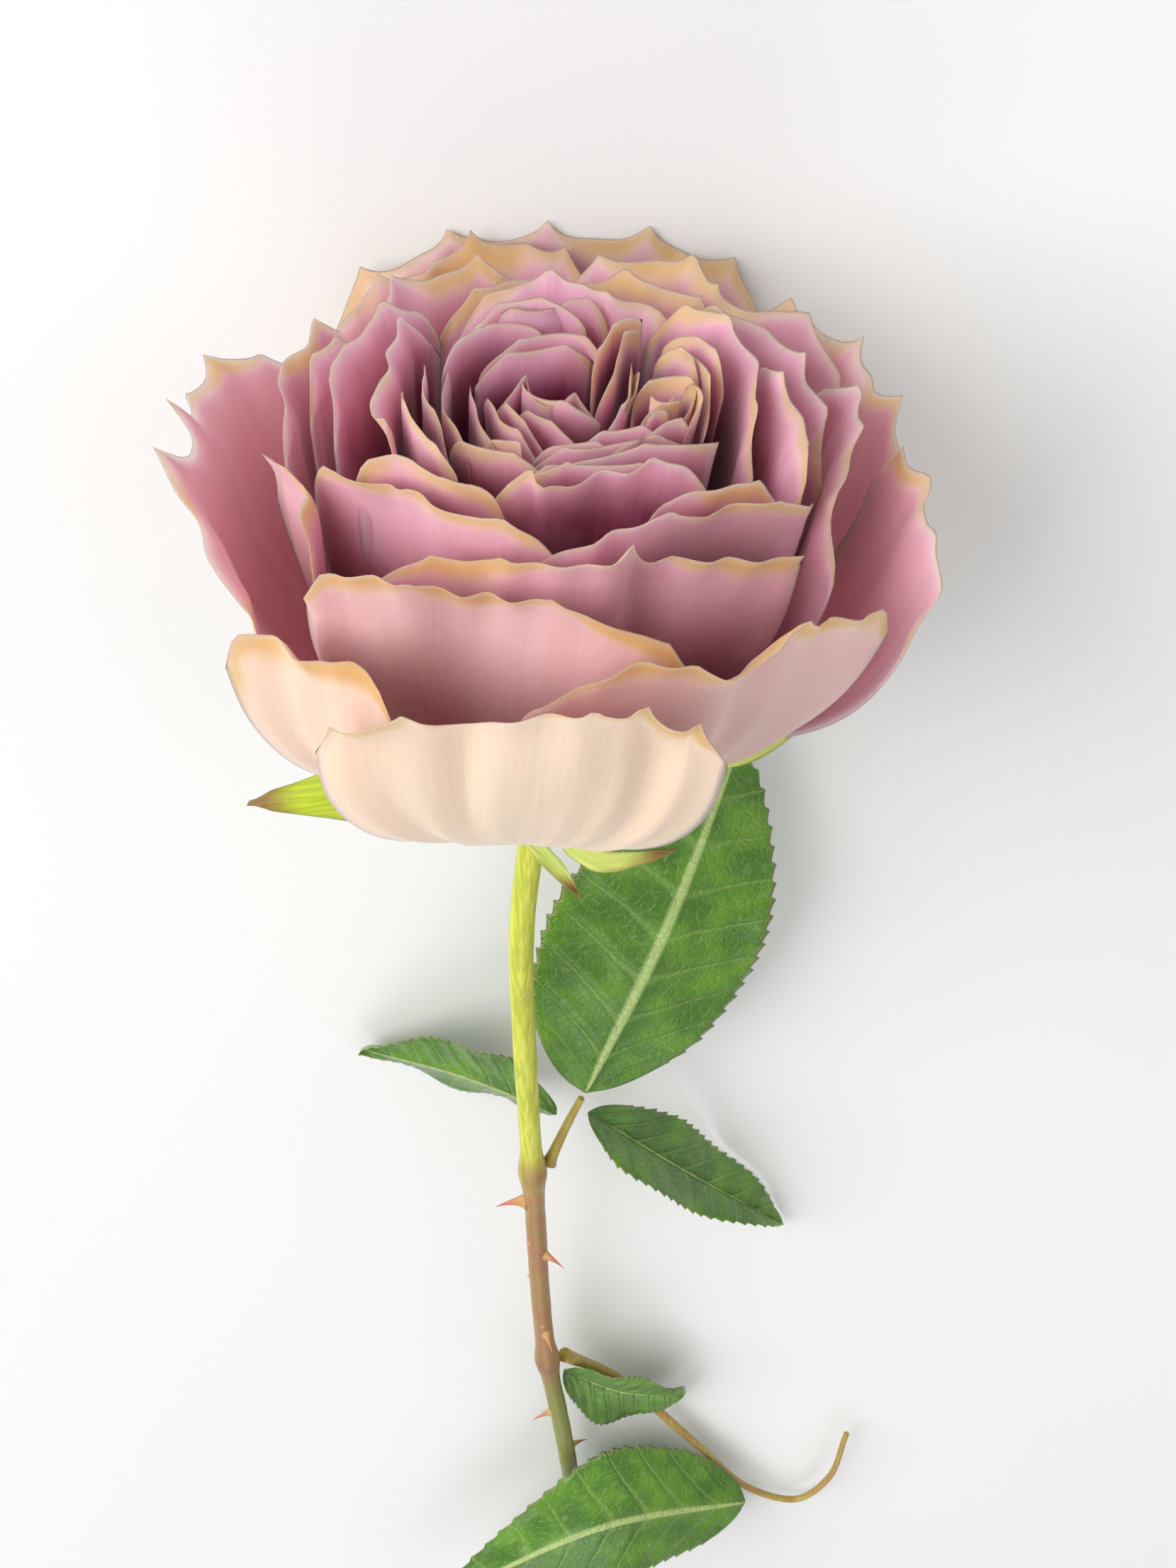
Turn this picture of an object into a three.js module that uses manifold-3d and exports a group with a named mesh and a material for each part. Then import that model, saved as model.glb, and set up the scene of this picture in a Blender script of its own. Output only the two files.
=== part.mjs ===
// Cut rose, laid down: a full bloom of nested petals on a thin stem with sepals and two compound leaves.
// Millimetres, +Z up. The stem points to +Y, the face of the bloom to -Y, and it lies on z = 0.
import * as THREE from 'three';
import { LoftGeometry } from 'three/addons/geometries/LoftGeometry.js';
import { mergeVertices } from 'three/addons/utils/BufferGeometryUtils.js';
import Module from 'manifold-3d';

// ---- driving dimensions ----
const BLOOM_SPREAD = 1; // scales the petals' rim radii, 1 gives a bloom about 105 across
const BLOOM_HEIGHT = 65; // from the receptacle's top to the rims of the heart
const HEART_RADIUS = 22.5; // the closed heart of the bloom, at its top
const HEART_DIP = 4; // how far the middle of the heart lies below its edge
const PETAL_THICKNESS = 0.36;
const RIM_GAP = 1.25; // least distance between the rims of neighbouring petals
const BASE_RADIUS = 5.6; // radius that the heart's petals narrow to at the receptacle
const BASE_STEP = 0.48; // how much wider each further layer of petals is seated
const SEAT_GAP = 0.4; // clearance between the petals' feet and the receptacle
const HIP_HEIGHT = 15;
const SEPAL_WIDTH = 11;
const SEPAL_THICKNESS = 0.8;
const STEM_LENGTH = 256; // from the hip to the cut end
const STEM_RADIUS_TOP = 2.25;
const STEM_RADIUS_END = 1.9;
const LEAF_THICKNESS = 0.6;
const STALK_RADIUS = 0.9;
const TERMINAL_WIDTH = 41; // the leaflet at the end of a leaf
const SIDE_WIDTH = 26; // the leaflets beside it

// ---- the bloom's frame: x right, y back, z up along its axis, azimuth 0 at the front, 90 at the right ----
const HIP_SHIFT = -6; // the receptacle sits this far to the left of the bloom's middle
const RIM_DROP = 15.5; // how far the outer rims lie below the heart's
const RIM_DROP_FRONT = 4.7; // and how much lower still at the front
const CUP_FLARE = 0.9; // how much more conical the outer petals are at the back than at the front
const HEART_FLARE = 0.25; // the same for the whole heart
const SEAT_SLOPE = 0.6; // the receptacle's shoulder falls by this share of its radius
const radians = THREE.MathUtils.degToRad;

function rimHeight(radius, azimuth) {
  const drop = RIM_DROP + RIM_DROP_FRONT * Math.cos(radians(azimuth));
  const out = Math.max(radius / BLOOM_SPREAD - 20, 0) / 28;
  return BLOOM_HEIGHT - drop * out ** 1.3;
}

// How conical a petal is: the heart shares one cup, while the outer petals stand upright at the front
// and flare towards the back and the left.
function flareAt(radius, azimuth) {
  const turned = (0.5 - 0.5 * Math.cos(radians(azimuth))) * (1 - 0.45 * Math.sin(radians(azimuth)));
  const outward = THREE.MathUtils.smoothstep(radius, HEART_RADIUS, 50 * BLOOM_SPREAD);
  return HEART_FLARE + (CUP_FLARE * turned - HEART_FLARE) * outward;
}

// Share of its width that a petal has reached at share s of its height.
function cup(s, flare) {
  const t = Math.min(Math.max(s, 0), 1);
  return (1 - (1 - t) ** (2.5 - flare)) ** (0.68 + 0.2 * flare) + 0.12 * Math.max(s - 1, 0);
}

function between(ends, t) {
  const [a, m, b] = ends;
  return a * (1 - t) * (1 - 2 * t) + m * 4 * t * (1 - t) + b * t * (2 * t - 1);
}

// ---- petals of the heart: arcs in plan about their own centres, narrowing together to the receptacle ----
const DRAWN_RADIUS = 22.5; // the heart's radius that this table is drawn for
// name, centre x and y, azimuth from and to, radius at the two ends and in the middle
const HEART = [
  ['swirl_petal_1', 13.2, -1, -150, 130, [1.2, 1.5, 2.4]],
  ['swirl_petal_2', 13.2, -1, 25, 300, [3.4, 3.9, 3.9]],
  ['heart_petal_01', 0.5, 6, -97, 38, [6.1, 6.8, 7.2]],
  ['heart_petal_02', 0, 0, -95, 24, [6.6, 5.0, 7.8]],
  ['heart_petal_03', 0, 0, -100, -8, [8.4, 7.6, 9.4]],
  ['heart_petal_04', 0, 0, -106, -12, [11.2, 9.8, 12.2]],
  ['heart_petal_05', 6, 8, -19, 28, [18.7, 16.2, 16.4]],
  ['heart_petal_06', 0, 0, -22, 64, [14.2, 12.4, 17.6]],
  ['heart_petal_07', 0, 0, -116, -30, [14.0, 12.6, 15.2]],
  ['heart_petal_08', 19, 8, -146, -72, [14.4, 14.2, 15.6]],
  ['heart_petal_09', 0, 0, -22, 67, [18.4, 15.4, 22.2]],
  ['heart_petal_10', 0, 0, -57, -9, [18.4, 16.8, 14.8]],
  ['heart_petal_11', 0, 0, -116, -44, [21.5, 18.9, 20.4]],
  ['heart_petal_12', 0, 0, 162, 242, [13.5, 11.2, 14.2]],
  ['heart_petal_13', 0, 0, 188, 256, [15.5, 18.6, 17.2]],
  ['heart_petal_14', -10, 4, 62, 106, [18.7, 19.4, 20.0]],
  ['heart_petal_15', 0, 0, 72, 131, [19.4, 18.9, 16.8]],
];

// ---- petals around the heart, from the inside out ----
// name, azimuth from and to, rim radius at its start, middle and end, rise of the rim, points on it
const LAYERS = [
  ['inner_petal_01', 160, 222, [18.5, 18.2, 20.5], -0.02, [[0.2, 1.5]]],
  ['inner_petal_02', -27, 52, [22.4, 20.4, 25.4], 0.02, [[0.3, 1]]],
  ['inner_petal_03', -140, -54, [25.5, 23.2, 24.4], 0, [[0.15, 2.5]]],
  ['inner_petal_04', -66, -16, [26.5, 25.2, 22.6], 0.02, [[0.1, 1.5]]],
  ['inner_petal_05', 66, 150, [25.4, 24.0, 24.0], 0, [[0.7, 2]]],
  ['inner_petal_06', 140, 216, [27.0, 23.5, 27.0], -0.01, [[0.6, 2]]],
  ['middle_petal_01', 20, 64, [26.2, 26.2, 32.8], 0, [[0.8, 1.5]]],
  ['middle_petal_02', 60, 116, [30.0, 27.6, 28.5], 0, [[0.2, 2]]],
  ['middle_petal_03', -78, 2, [33.5, 27.9, 28.8], 0.03, [[0.1, 2]]],
  ['middle_petal_04', -12, 74, [30.4, 28.2, 34.8], 0.02, [[0.25, 1.5]]],
  ['middle_petal_05', 216, 268, [31.0, 30.0, 30.0], 0, [[0.3, 3]]],
  ['middle_petal_06', 80, 150, [32.8, 31.0, 30.0], 0, [[0.4, 2]]],
  ['middle_petal_07', 138, 216, [31.0, 30.0, 32.0], -0.01, [[0.35, 2]]],
  ['middle_petal_08', -44, 58, [35.5, 31.4, 38.4], 0.02, [[0.56, 6], [0.94, 3]]],
  ['middle_petal_09', 186, 256, [36.0, 34.5, 35.5], 0.01, [[0.5, 3]]],
  ['outer_petal_01', -88, -54, [36.5, 35.6, 39.0], 0, [[0.2, 2.5]]],
  ['outer_petal_02', 62, 118, [36.5, 37.8, 40.5], 0, [[0.7, 3]]],
  ['outer_petal_03', 108, 184, [40.0, 38.0, 40.0], 0.01, [[0.6, 3]]],
  ['outer_petal_04', 226, 264, [41.0, 39.2, 37.4], 0.01, [[0.3, 3]]],
  ['outer_petal_05', -56, 28, [40.0, 34.6, 42.6], 0.03, [[0.12, 3]]],
  ['outer_petal_06', 170, 238, [43.0, 42.5, 44.0], 0.01, [[0.4, 3]]],
  ['outer_petal_07', -10, 66, [46.5, 41.4, 51.5], 0.01, [[0.95, 4]]],
  ['outer_petal_08', 66, 100, [50.0, 48.8, 46.5], 0, [[0.6, 3]]],
  ['outer_petal_09', -130, -62, [47.5, 48.5, 44.4], 0.02, [[0.5, 8]]],
  ['outer_petal_10', 92, 150, [48.5, 46.2, 47.0], -0.02, [[0.5, 3]]],
  ['outer_petal_11', 142, 224, [50.0, 50.0, 50.5], 0.05, [[0.3, 3], [0.7, 3]]],
  ['outer_petal_12', -56, -24, [48.8, 47.0, 46.0], 0.02, [[0.3, 2]]],
  ['outer_petal_13', -34, 27, [50.5, 46.4, 50.0], 0.04, [[0.22, 3], [0.76, 6]]],
];
const POINT_WIDTH = 0.07; // half width of a rim's point, as a share of the petal's width
const CORNER_DROP = 0.1; // how far the corners of a rim fall, as a share of the petal's height
const FOOT_WIDTH = 0.5; // width of a petal's foot as a share of its angle at the rim
const AZIMUTH_STEP = 4; // spacing of the directions in which the layers are packed, in degrees
const DIRECTIONS = 360 / AZIMUTH_STEP;

// ---- closed thin sheets ----

const EDGE_SHARE = 0.35; // thickness left along the edges

// A surface given thickness: a flat grid bent to it twice, front and back, and closed around its border.
function sheet(surface, columns, rows, thickness) {
  const grid = new THREE.PlaneGeometry(1, 1, columns, rows);
  const flat = grid.attributes.position;
  const here = new THREE.Vector3();
  const before = new THREE.Vector3();
  const along = new THREE.Vector3();
  const up = new THREE.Vector3();
  const tiny = 1e-3;
  const front = [];
  const back = [];
  for (let i = 0; i < flat.count; i += 1) {
    const u = flat.getX(i) + 0.5;
    const v = flat.getY(i) + 0.5;
    surface(Math.min(u + tiny, 1), v, along);
    surface(Math.max(u - tiny, 0), v, before);
    along.sub(before);
    surface(u, Math.min(v + tiny, 1), up);
    surface(u, Math.max(v - tiny, 0), before);
    up.sub(before);
    const onEdge = u < tiny || u > 1 - tiny || v > 1 - tiny;
    const share = onEdge ? EDGE_SHARE : Math.min(1, 0.35 + 2 * v);
    surface(u, v, here);
    along.cross(up).setLength(0.5 * share * thickness);
    front.push(...here.add(along).toArray());
    back.push(...here.addScaledVector(along, -2).toArray());
  }

  const faces = [];
  for (let i = 0; i < grid.index.count; i += 3) {
    const [a, b, c] = grid.index.array.slice(i, i + 3);
    faces.push(a, b, c, flat.count + a, flat.count + c, flat.count + b);
  }
  const border = gridBorder(columns, rows);
  border.forEach((a, k) => {
    const b = border[(k + 1) % border.length];
    faces.push(flat.count + a, flat.count + b, b, flat.count + a, b, a);
  });

  const body = new THREE.BufferGeometry();
  body.setAttribute('position', new THREE.Float32BufferAttribute([...front, ...back], 3));
  body.setIndex(faces);
  body.computeVertexNormals();
  return body;
}

// The points around a flat grid, counterclockwise from its lower left corner; rows run from the top down.
function gridBorder(columns, rows) {
  const at = (column, row) => row * (columns + 1) + column;
  const border = [];
  for (let column = 0; column < columns; column += 1) border.push(at(column, rows));
  for (let row = rows; row > 0; row -= 1) border.push(at(columns, row));
  for (let column = columns; column > 0; column -= 1) border.push(at(column, 0));
  for (let row = 0; row < rows; row += 1) border.push(at(0, row));
  return border;
}

function closedBody(geometry) {
  const bare = new THREE.BufferGeometry().copy(geometry);
  bare.deleteAttribute('normal');
  bare.deleteAttribute('uv');
  const merged = mergeVertices(bare, 1e-4);
  merged.computeVertexNormals();
  return merged;
}

// ---- petals ----

function lean(z) {
  return HIP_SHIFT * (1 - z / BLOOM_HEIGHT);
}

function heartPetal([name, cx, cy, from, to, ends]) {
  const surface = (u, v, target) => {
    const azimuth = radians(from + (to - from) * u);
    const radius = between(ends, u);
    const x = cx + radius * Math.sin(azimuth);
    const y = cy - radius * Math.cos(azimuth);
    const out = Math.hypot(x, y) / DRAWN_RADIUS;
    const top = 1 - HEART_DIP / BLOOM_HEIGHT * (1 - out * out) - 0.06 * Math.abs(2 * u - 1) ** 3;
    const s = top * v ** 1.3;
    const foot = BASE_RADIUS / HEART_RADIUS;
    const width = (foot + (1 - foot) * cup(s, HEART_FLARE)) * (HEART_RADIUS / DRAWN_RADIUS);
    const z = BLOOM_HEIGHT * s;
    target.set(x * width + lean(z), y * width, z);
  };
  const columns = Math.max(3, Math.round((to - from) / 26));
  return { name, surface, columns, rows: 4 };
}

function direction(azimuth) {
  const turned = ((azimuth % 360) + 360) % 360;
  return Math.round(turned / AZIMUTH_STEP) % DIRECTIONS;
}

// The outline of the heart in plan, direction by direction, which the first layer is packed around.
function heartOutline() {
  const scale = HEART_RADIUS / DRAWN_RADIUS;
  const outline = new Array(DIRECTIONS).fill(14 * scale);
  for (const [, cx, cy, from, to, ends] of HEART) {
    for (let u = 0; u <= 1; u += 0.02) {
      const azimuth = radians(from + (to - from) * u);
      const x = cx + between(ends, u) * Math.sin(azimuth);
      const y = cy - between(ends, u) * Math.cos(azimuth);
      const seen = THREE.MathUtils.radToDeg(Math.atan2(x, -y));
      for (const slot of [direction(seen - AZIMUTH_STEP / 2), direction(seen + AZIMUTH_STEP / 2)]) {
        outline[slot] = Math.max(outline[slot], scale * Math.hypot(x, y));
      }
    }
  }
  return outline;
}

// Each layer's rim keeps its gap to everything inside it, and its foot steps out from the feet inside it.
function packLayers() {
  const outline = heartOutline();
  const feet = new Array(DIRECTIONS).fill(BASE_RADIUS);
  return LAYERS.map(([name, from, to, ends, rise, points]) => {
    const first = Math.floor(from / AZIMUTH_STEP) - 1;
    const last = Math.ceil(to / AZIMUTH_STEP) + 1;
    const slots = [];
    for (let k = first; k <= last; k += 1) slots.push(((k % DIRECTIONS) + DIRECTIONS) % DIRECTIONS);
    const wanted = slots.map((slot, k) => {
      const t = ((first + k) * AZIMUTH_STEP - from) / (to - from);
      return BLOOM_SPREAD * between(ends, Math.min(Math.max(t, 0), 1));
    });
    const rims = wanted.map((radius, k) => Math.max(radius, outline[slots[k]] + RIM_GAP));
    const eased = rims.map((radius, k) => {
      const before = rims[Math.max(k - 1, 0)];
      const after = rims[Math.min(k + 1, rims.length - 1)];
      return Math.max(0.5 * radius + 0.25 * (before + after), outline[slots[k]] + RIM_GAP);
    });
    const foot = Math.max(...slots.map((slot) => feet[slot])) + BASE_STEP;
    slots.forEach((slot, k) => {
      outline[slot] = eased[k];
      feet[slot] = foot;
    });
    return { name, from, to, first, rims: eased, foot, rise, points };
  });
}

function layerPetal({ name, from, to, first, rims, foot, rise, points }) {
  const rim = (azimuth) => {
    const k = azimuth / AZIMUTH_STEP - first;
    const low = Math.min(Math.max(Math.floor(k), 0), rims.length - 2);
    return rims[low] + (rims[low + 1] - rims[low]) * (k - low);
  };
  const seat = -SEAT_SLOPE * (foot - BASE_RADIUS);
  const surface = (u, v, target) => {
    const middle = (from + to) / 2;
    const spread = FOOT_WIDTH + (1 - FOOT_WIDTH) * Math.sin(Math.min(v / 0.7, 1) * Math.PI / 2);
    const azimuth = middle + (u - 0.5) * (to - from) * spread;
    const radius = rim(azimuth);
    const height = rimHeight(radius, azimuth);
    let top = 1 + rise - CORNER_DROP * Math.abs(2 * u - 1) ** 6;
    for (const [at, tall] of points) top += tall / height * Math.exp(-Math.abs(u - at) / POINT_WIDTH);
    const s = top * v ** 1.3;
    const out = foot + (radius - foot) * cup(s, flareAt(radius, azimuth));
    const z = seat + (height - seat) * s;
    target.set(out * Math.sin(radians(azimuth)) + lean(z), -out * Math.cos(radians(azimuth)), z);
  };
  return { name, surface, columns: Math.max(4, Math.round((to - from) / 8)), rows: 6 };
}

// ---- green parts ----

function point([x, y, z]) {
  return new THREE.Vector3(x, y, z);
}

// A round stalk whose radius changes along it.
function stalk(curve, radiusAt, sides, steps) {
  const frames = curve.computeFrenetFrames(steps, false);
  const sections = [];
  for (let i = 0; i <= steps; i += 1) {
    const centre = curve.getPointAt(i / steps);
    const ring = [];
    for (let j = 0; j < sides; j += 1) {
      const angle = 2 * Math.PI * j / sides;
      const spoke = frames.normals[i].clone().multiplyScalar(Math.cos(angle));
      spoke.addScaledVector(frames.binormals[i], Math.sin(angle));
      ring.push(centre.clone().addScaledVector(spoke, radiusAt(i / steps)));
    }
    sections.push(ring);
  }
  return closedBody(new LoftGeometry(sections, { capStart: true, capEnd: true }));
}

// The hip: a shoulder that carries the petals' feet, narrowing to the stem.
const shoulder = (radius) => -SEAT_GAP - SEAT_SLOPE * Math.max(radius - BASE_RADIUS, 0);

function hipGeometry(seatRadius) {
  const edge = shoulder(seatRadius);
  const profile = [
    [0, edge - HIP_HEIGHT], [STEM_RADIUS_TOP + 0.7, edge - HIP_HEIGHT], [5.2, edge - 0.7 * HIP_HEIGHT],
    [7.4, edge - 0.45 * HIP_HEIGHT], [seatRadius - 0.4, edge - 1.4], [seatRadius, edge],
    [BASE_RADIUS, -SEAT_GAP], [0, -SEAT_GAP],
  ];
  const geometry = new THREE.LatheGeometry(profile.map(([radius, z]) => new THREE.Vector2(radius, z)), 20);
  geometry.rotateX(Math.PI / 2);
  geometry.translate(HIP_SHIFT, 0, 0);
  return closedBody(geometry);
}

// A blade along a curve, folded up along its midrib, with its width given by an outline.
function blade(curve, side, outline, fold) {
  const across = point(side).normalize();
  const lift = new THREE.Vector3();
  const tangent = new THREE.Vector3();
  return (u, v, target) => {
    curve.getTangent(v, tangent);
    lift.crossVectors(tangent, across).normalize();
    const half = outline(v);
    const share = 2 * u - 1;
    curve.getPoint(v, target);
    target.addScaledVector(across, half * share);
    target.addScaledVector(lift, fold * half * Math.abs(share));
  };
}

const JOINT_GAP = 0.8; // clearance where the stem meets the hip
const BLADE_TIP = 0.7; // half width left at the ends of a blade

function leafletOutline(width) {
  return (v) => BLADE_TIP + (0.5 * width - BLADE_TIP) * Math.sin(Math.PI * v ** 0.85) ** 0.75;
}

function sepalOutline(width) {
  return (v) => BLADE_TIP + (0.5 * width - BLADE_TIP) * (1 - v) ** 0.9 * (0.55 + 1.5 * v * (1.2 - v));
}

// Stem: a slow S between the hip and the cut end, thicker where a leaf joins it.
// x at equal steps down the stem
const STEM_BENDS = [-6, -8.8, -9, -8.5, -7.9, -7.4, -6.2, -3.4, -1.2, -0.4];
const UPPER_NODE = 0.39; // share of the stem's length at which the upper leaf joins
const LOWER_NODE = 0.664;
const NODE_SWELL = 0.75;
const NODE_SPAN = 0.018;

function stemCurve(top) {
  const steps = STEM_BENDS.length - 1;
  return new THREE.CatmullRomCurve3(STEM_BENDS.map((x, k) => point([x, 0, top - STEM_LENGTH * k / steps])));
}

function stemRadius(share) {
  const swell = (at) => NODE_SWELL * Math.exp(-(((share - at) / NODE_SPAN) ** 2));
  const taper = STEM_RADIUS_TOP + (STEM_RADIUS_END - STEM_RADIUS_TOP) * share;
  return taper + swell(UPPER_NODE) + swell(LOWER_NODE) + 0.6 * swell(0);
}

// share of the stem's length, direction round it in degrees (0 front, + right), length
const PRICKLES = [
  [0.43, -90, 6.5], [0.5, 60, 5], [0.56, -150, 4.5], [0.615, 20, 5], [0.75, -70, 5], [0.82, 120, 4.5],
];
const PRICKLE_BASE = 1.5;
const PRICKLE_DROOP = 20; // degrees that a prickle points down the stem

function withPrickles(wasm, stemGeometry, curve) {
  const toSolid = (geometry) => {
    const merged = closedBody(geometry.index ? geometry.toNonIndexed() : geometry);
    return new wasm.Manifold(new wasm.Mesh({
      numProp: 3,
      vertProperties: merged.attributes.position.array,
      triVerts: new Uint32Array(merged.index.array),
    }));
  };
  let stem = toSolid(stemGeometry);
  for (const [share, azimuth, length] of PRICKLES) {
    const cone = new THREE.ConeGeometry(PRICKLE_BASE, length, 7);
    cone.translate(0, length / 2, 0);
    cone.scale(0.6, 1, 1.5);
    cone.rotateX(Math.PI + radians(90 - PRICKLE_DROOP) * -1);
    cone.rotateZ(radians(azimuth));
    const root = curve.getPointAt(share);
    const inset = 0.6 * stemRadius(share);
    root.x += inset * Math.sin(radians(azimuth));
    root.y -= inset * Math.cos(radians(azimuth));
    cone.translate(root.x, root.y, root.z);
    stem = stem.add(toSolid(cone));
  }
  const { vertProperties, triVerts } = stem.getMesh();
  const geometry = new THREE.BufferGeometry();
  geometry.setAttribute('position', new THREE.Float32BufferAttribute(vertProperties, 3));
  geometry.setIndex([...triVerts]);
  geometry.computeVertexNormals();
  return geometry;
}

// Leaves: each hangs on a stalk from its node, and its points are measured from the stem's right side there.
const LEAVES = [
  {
    name: 'upper_leaf',
    node: UPPER_NODE,
    stalk: [[0.3, 1.6, 0.5], [3.7, 4, 9], [6.7, 5.2, 16.6]],
    leaflets: [ // name, midrib, direction across it, width
      ['terminal', [[7.4, 5.6, 18.2], [21.8, 13, 56], [34.3, 27, 90]], [0.94, 0, -0.35], TERMINAL_WIDTH],
      ['left', [[2, 7, 9.5], [-15.6, 15, 10.5], [-37.2, 24, 8.7]], [0, -0.3, 1], SIDE_WIDTH],
      ['right', [[8.3, 6, 11], [28.2, 11, -16], [50.4, 16, -42.6]], [0.35, 0.75, -0.2], 0.85 * SIDE_WIDTH],
    ],
  },
  {
    name: 'lower_leaf',
    node: LOWER_NODE,
    stalk: [
      [0.9, 1.7, -1.5], [13.2, 7.4, -22], [31.2, 3.4, -44], [44.2, 1.6, -62],
      [56.2, 1.6, -68], [63.2, 1.8, -58], [66.2, 3.6, -40],
    ],
    leaflets: [
      ['left', [[0.8, 2, -9], [14.2, 3, -20], [28.4, 4.5, -24]], [0.2, -0.2, 1], 1.2 * SIDE_WIDTH],
      ['right', [[7.2, 2.6, -50], [18.2, 3, -60], [33.2, 2, -73]], [0.1, -0.1, 1], 0.8 * SIDE_WIDTH],
      [
        'front',
        [[43.2, -2.6, -60.5], [10.2, -14, -50], [-29.2, -17, -81]],
        [0, 0.45, 1],
        0.9 * TERMINAL_WIDTH,
      ],
    ],
  },
];
const LEAF_FOLD = 0.16;

// Sepals: direction round the hip, path of the tip from the hip's edge, side, share of the full width
const SEPALS = [
  ['sepal_left', -75, [[-8, -3, -0.2], [-19, -5, -1.5], [-32, -5, -3.5]], [0, -0.3, 1], 1.2],
  ['sepal_right', 80, [[9, -1.5, 0], [20, -2, 4], [36, 0, 17]], [0, -0.5, 0.8], 0.9],
  ['sepal_front', 22, [[1.5, -6, -1.5], [6, -10, -1], [17, -10.5, 2]], [0.2, 0.4, 1], 0.6],
  ['sepal_hanging', -14, [[2, -1.6, -3], [6, -1.6, -9], [10.6, -1.6, -17.5]], [1, 0, 0], 0.55],
  ['sepal_back', 200, [[-1, 8, -3], [2, 17, -3], [6, 24, 1]], [1, 0, 0.1], 1],
];

// ---- assembly ----

const wasm = await Module();
wasm.setup();

const rose = new THREE.Group();
const bloomFrame = new THREE.Group();
rose.add(bloomFrame);

function addPiece(name, geometry, colour, roughness) {
  const material = new THREE.MeshStandardMaterial({ color: colour, roughness, metalness: 0 });
  const mesh = new THREE.Mesh(geometry, material);
  mesh.name = name;
  bloomFrame.add(mesh);
}

const packed = packLayers();
const seatRadius = Math.max(...packed.map((layer) => layer.foot)) + 0.5;
for (const petal of [...HEART.map(heartPetal), ...packed.map(layerPetal)]) {
  const geometry = sheet(petal.surface, petal.columns, petal.rows, PETAL_THICKNESS);
  addPiece(petal.name, geometry, 0xc98aa6, 0.6);
}

addPiece('hip', hipGeometry(seatRadius), 0x8fae3c, 0.5);
const sepalSeat = shoulder(seatRadius) - 1.5;
for (const [name, azimuth, path, side, share] of SEPALS) {
  const angle = radians(azimuth);
  const reach = seatRadius + 1;
  const start = point([HIP_SHIFT + reach * Math.sin(angle), -reach * Math.cos(angle), sepalSeat]);
  const spine = [start, ...path.map((step) => point(step).add(start))];
  const surface = blade(new THREE.CatmullRomCurve3(spine), side, sepalOutline(SEPAL_WIDTH * share), 0.15);
  addPiece(name, sheet(surface, 3, 6, SEPAL_THICKNESS), 0x86a82c, 0.5);
}

const stemTop = shoulder(seatRadius) - HIP_HEIGHT - JOINT_GAP;
const curve = stemCurve(stemTop);
const stemGeometry = withPrickles(wasm, stalk(curve, stemRadius, 10, 40), curve);
addPiece('stem', stemGeometry, 0xa9b83a, 0.45);

for (const leaf of LEAVES) {
  const node = curve.getPointAt(leaf.node);
  node.x += stemRadius(leaf.node);
  const place = (points) => new THREE.CatmullRomCurve3(points.map((step) => point(step).add(node)));
  const thin = (share) => STALK_RADIUS * (1.25 - 0.5 * share);
  addPiece(`${leaf.name}_stalk`, stalk(place(leaf.stalk), thin, 8, 10), 0x9db04a, 0.5);
  for (const [name, spine, side, width] of leaf.leaflets) {
    const surface = blade(place(spine), side, leafletOutline(width), LEAF_FOLD);
    addPiece(`${leaf.name}_leaflet_${name}`, sheet(surface, 4, 7, LEAF_THICKNESS), 0x3f7d35, 0.35);
  }
}

// Laid down: the tilt at which the bloom's back and the cut end touch the surface together.
const facing = new THREE.Matrix4();
function layDown(tilt) {
  const right = new THREE.Vector3(-1, 0, 0);
  const back = new THREE.Vector3(0, -Math.sin(tilt), -Math.cos(tilt));
  const axis = new THREE.Vector3(0, -Math.cos(tilt), Math.sin(tilt));
  bloomFrame.quaternion.setFromRotationMatrix(facing.makeBasis(right, back, axis));
  rose.updateMatrixWorld(true);
}

const boxOf = (object) => new THREE.Box3().setFromObject(object, true);
const stem = bloomFrame.getObjectByName('stem');
let flattest = 0;
let steepest = radians(30);
for (let step = 0; step < 20; step += 1) {
  const tilt = (flattest + steepest) / 2;
  layDown(tilt);
  if (boxOf(stem).min.z > boxOf(rose).min.z + 0.01) flattest = tilt;
  else steepest = tilt;
}

// The origin is under the middle of the whole box.
const box = boxOf(rose);
bloomFrame.position.set(-(box.min.x + box.max.x) / 2, -(box.min.y + box.max.y) / 2, -box.min.z);

export default rose;
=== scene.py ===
# %% [markdown]
# # A cut rose, laid on a table
# A many-petalled garden rose: about forty-five petals nest in one another round a closed heart,
# on a thin stem with five sepals, two compound leaves and a few prickles. The CAD frame already
# fixes where every petal, leaf and sepal sits. This lesson makes the fine pieces that are seen:
# ruffled petals with curled cream margins, serrated leaves with sunken veins, and a waxy stem.

import math
import random

import bpy
import numpy as np
from mathutils import Matrix, Vector


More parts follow.
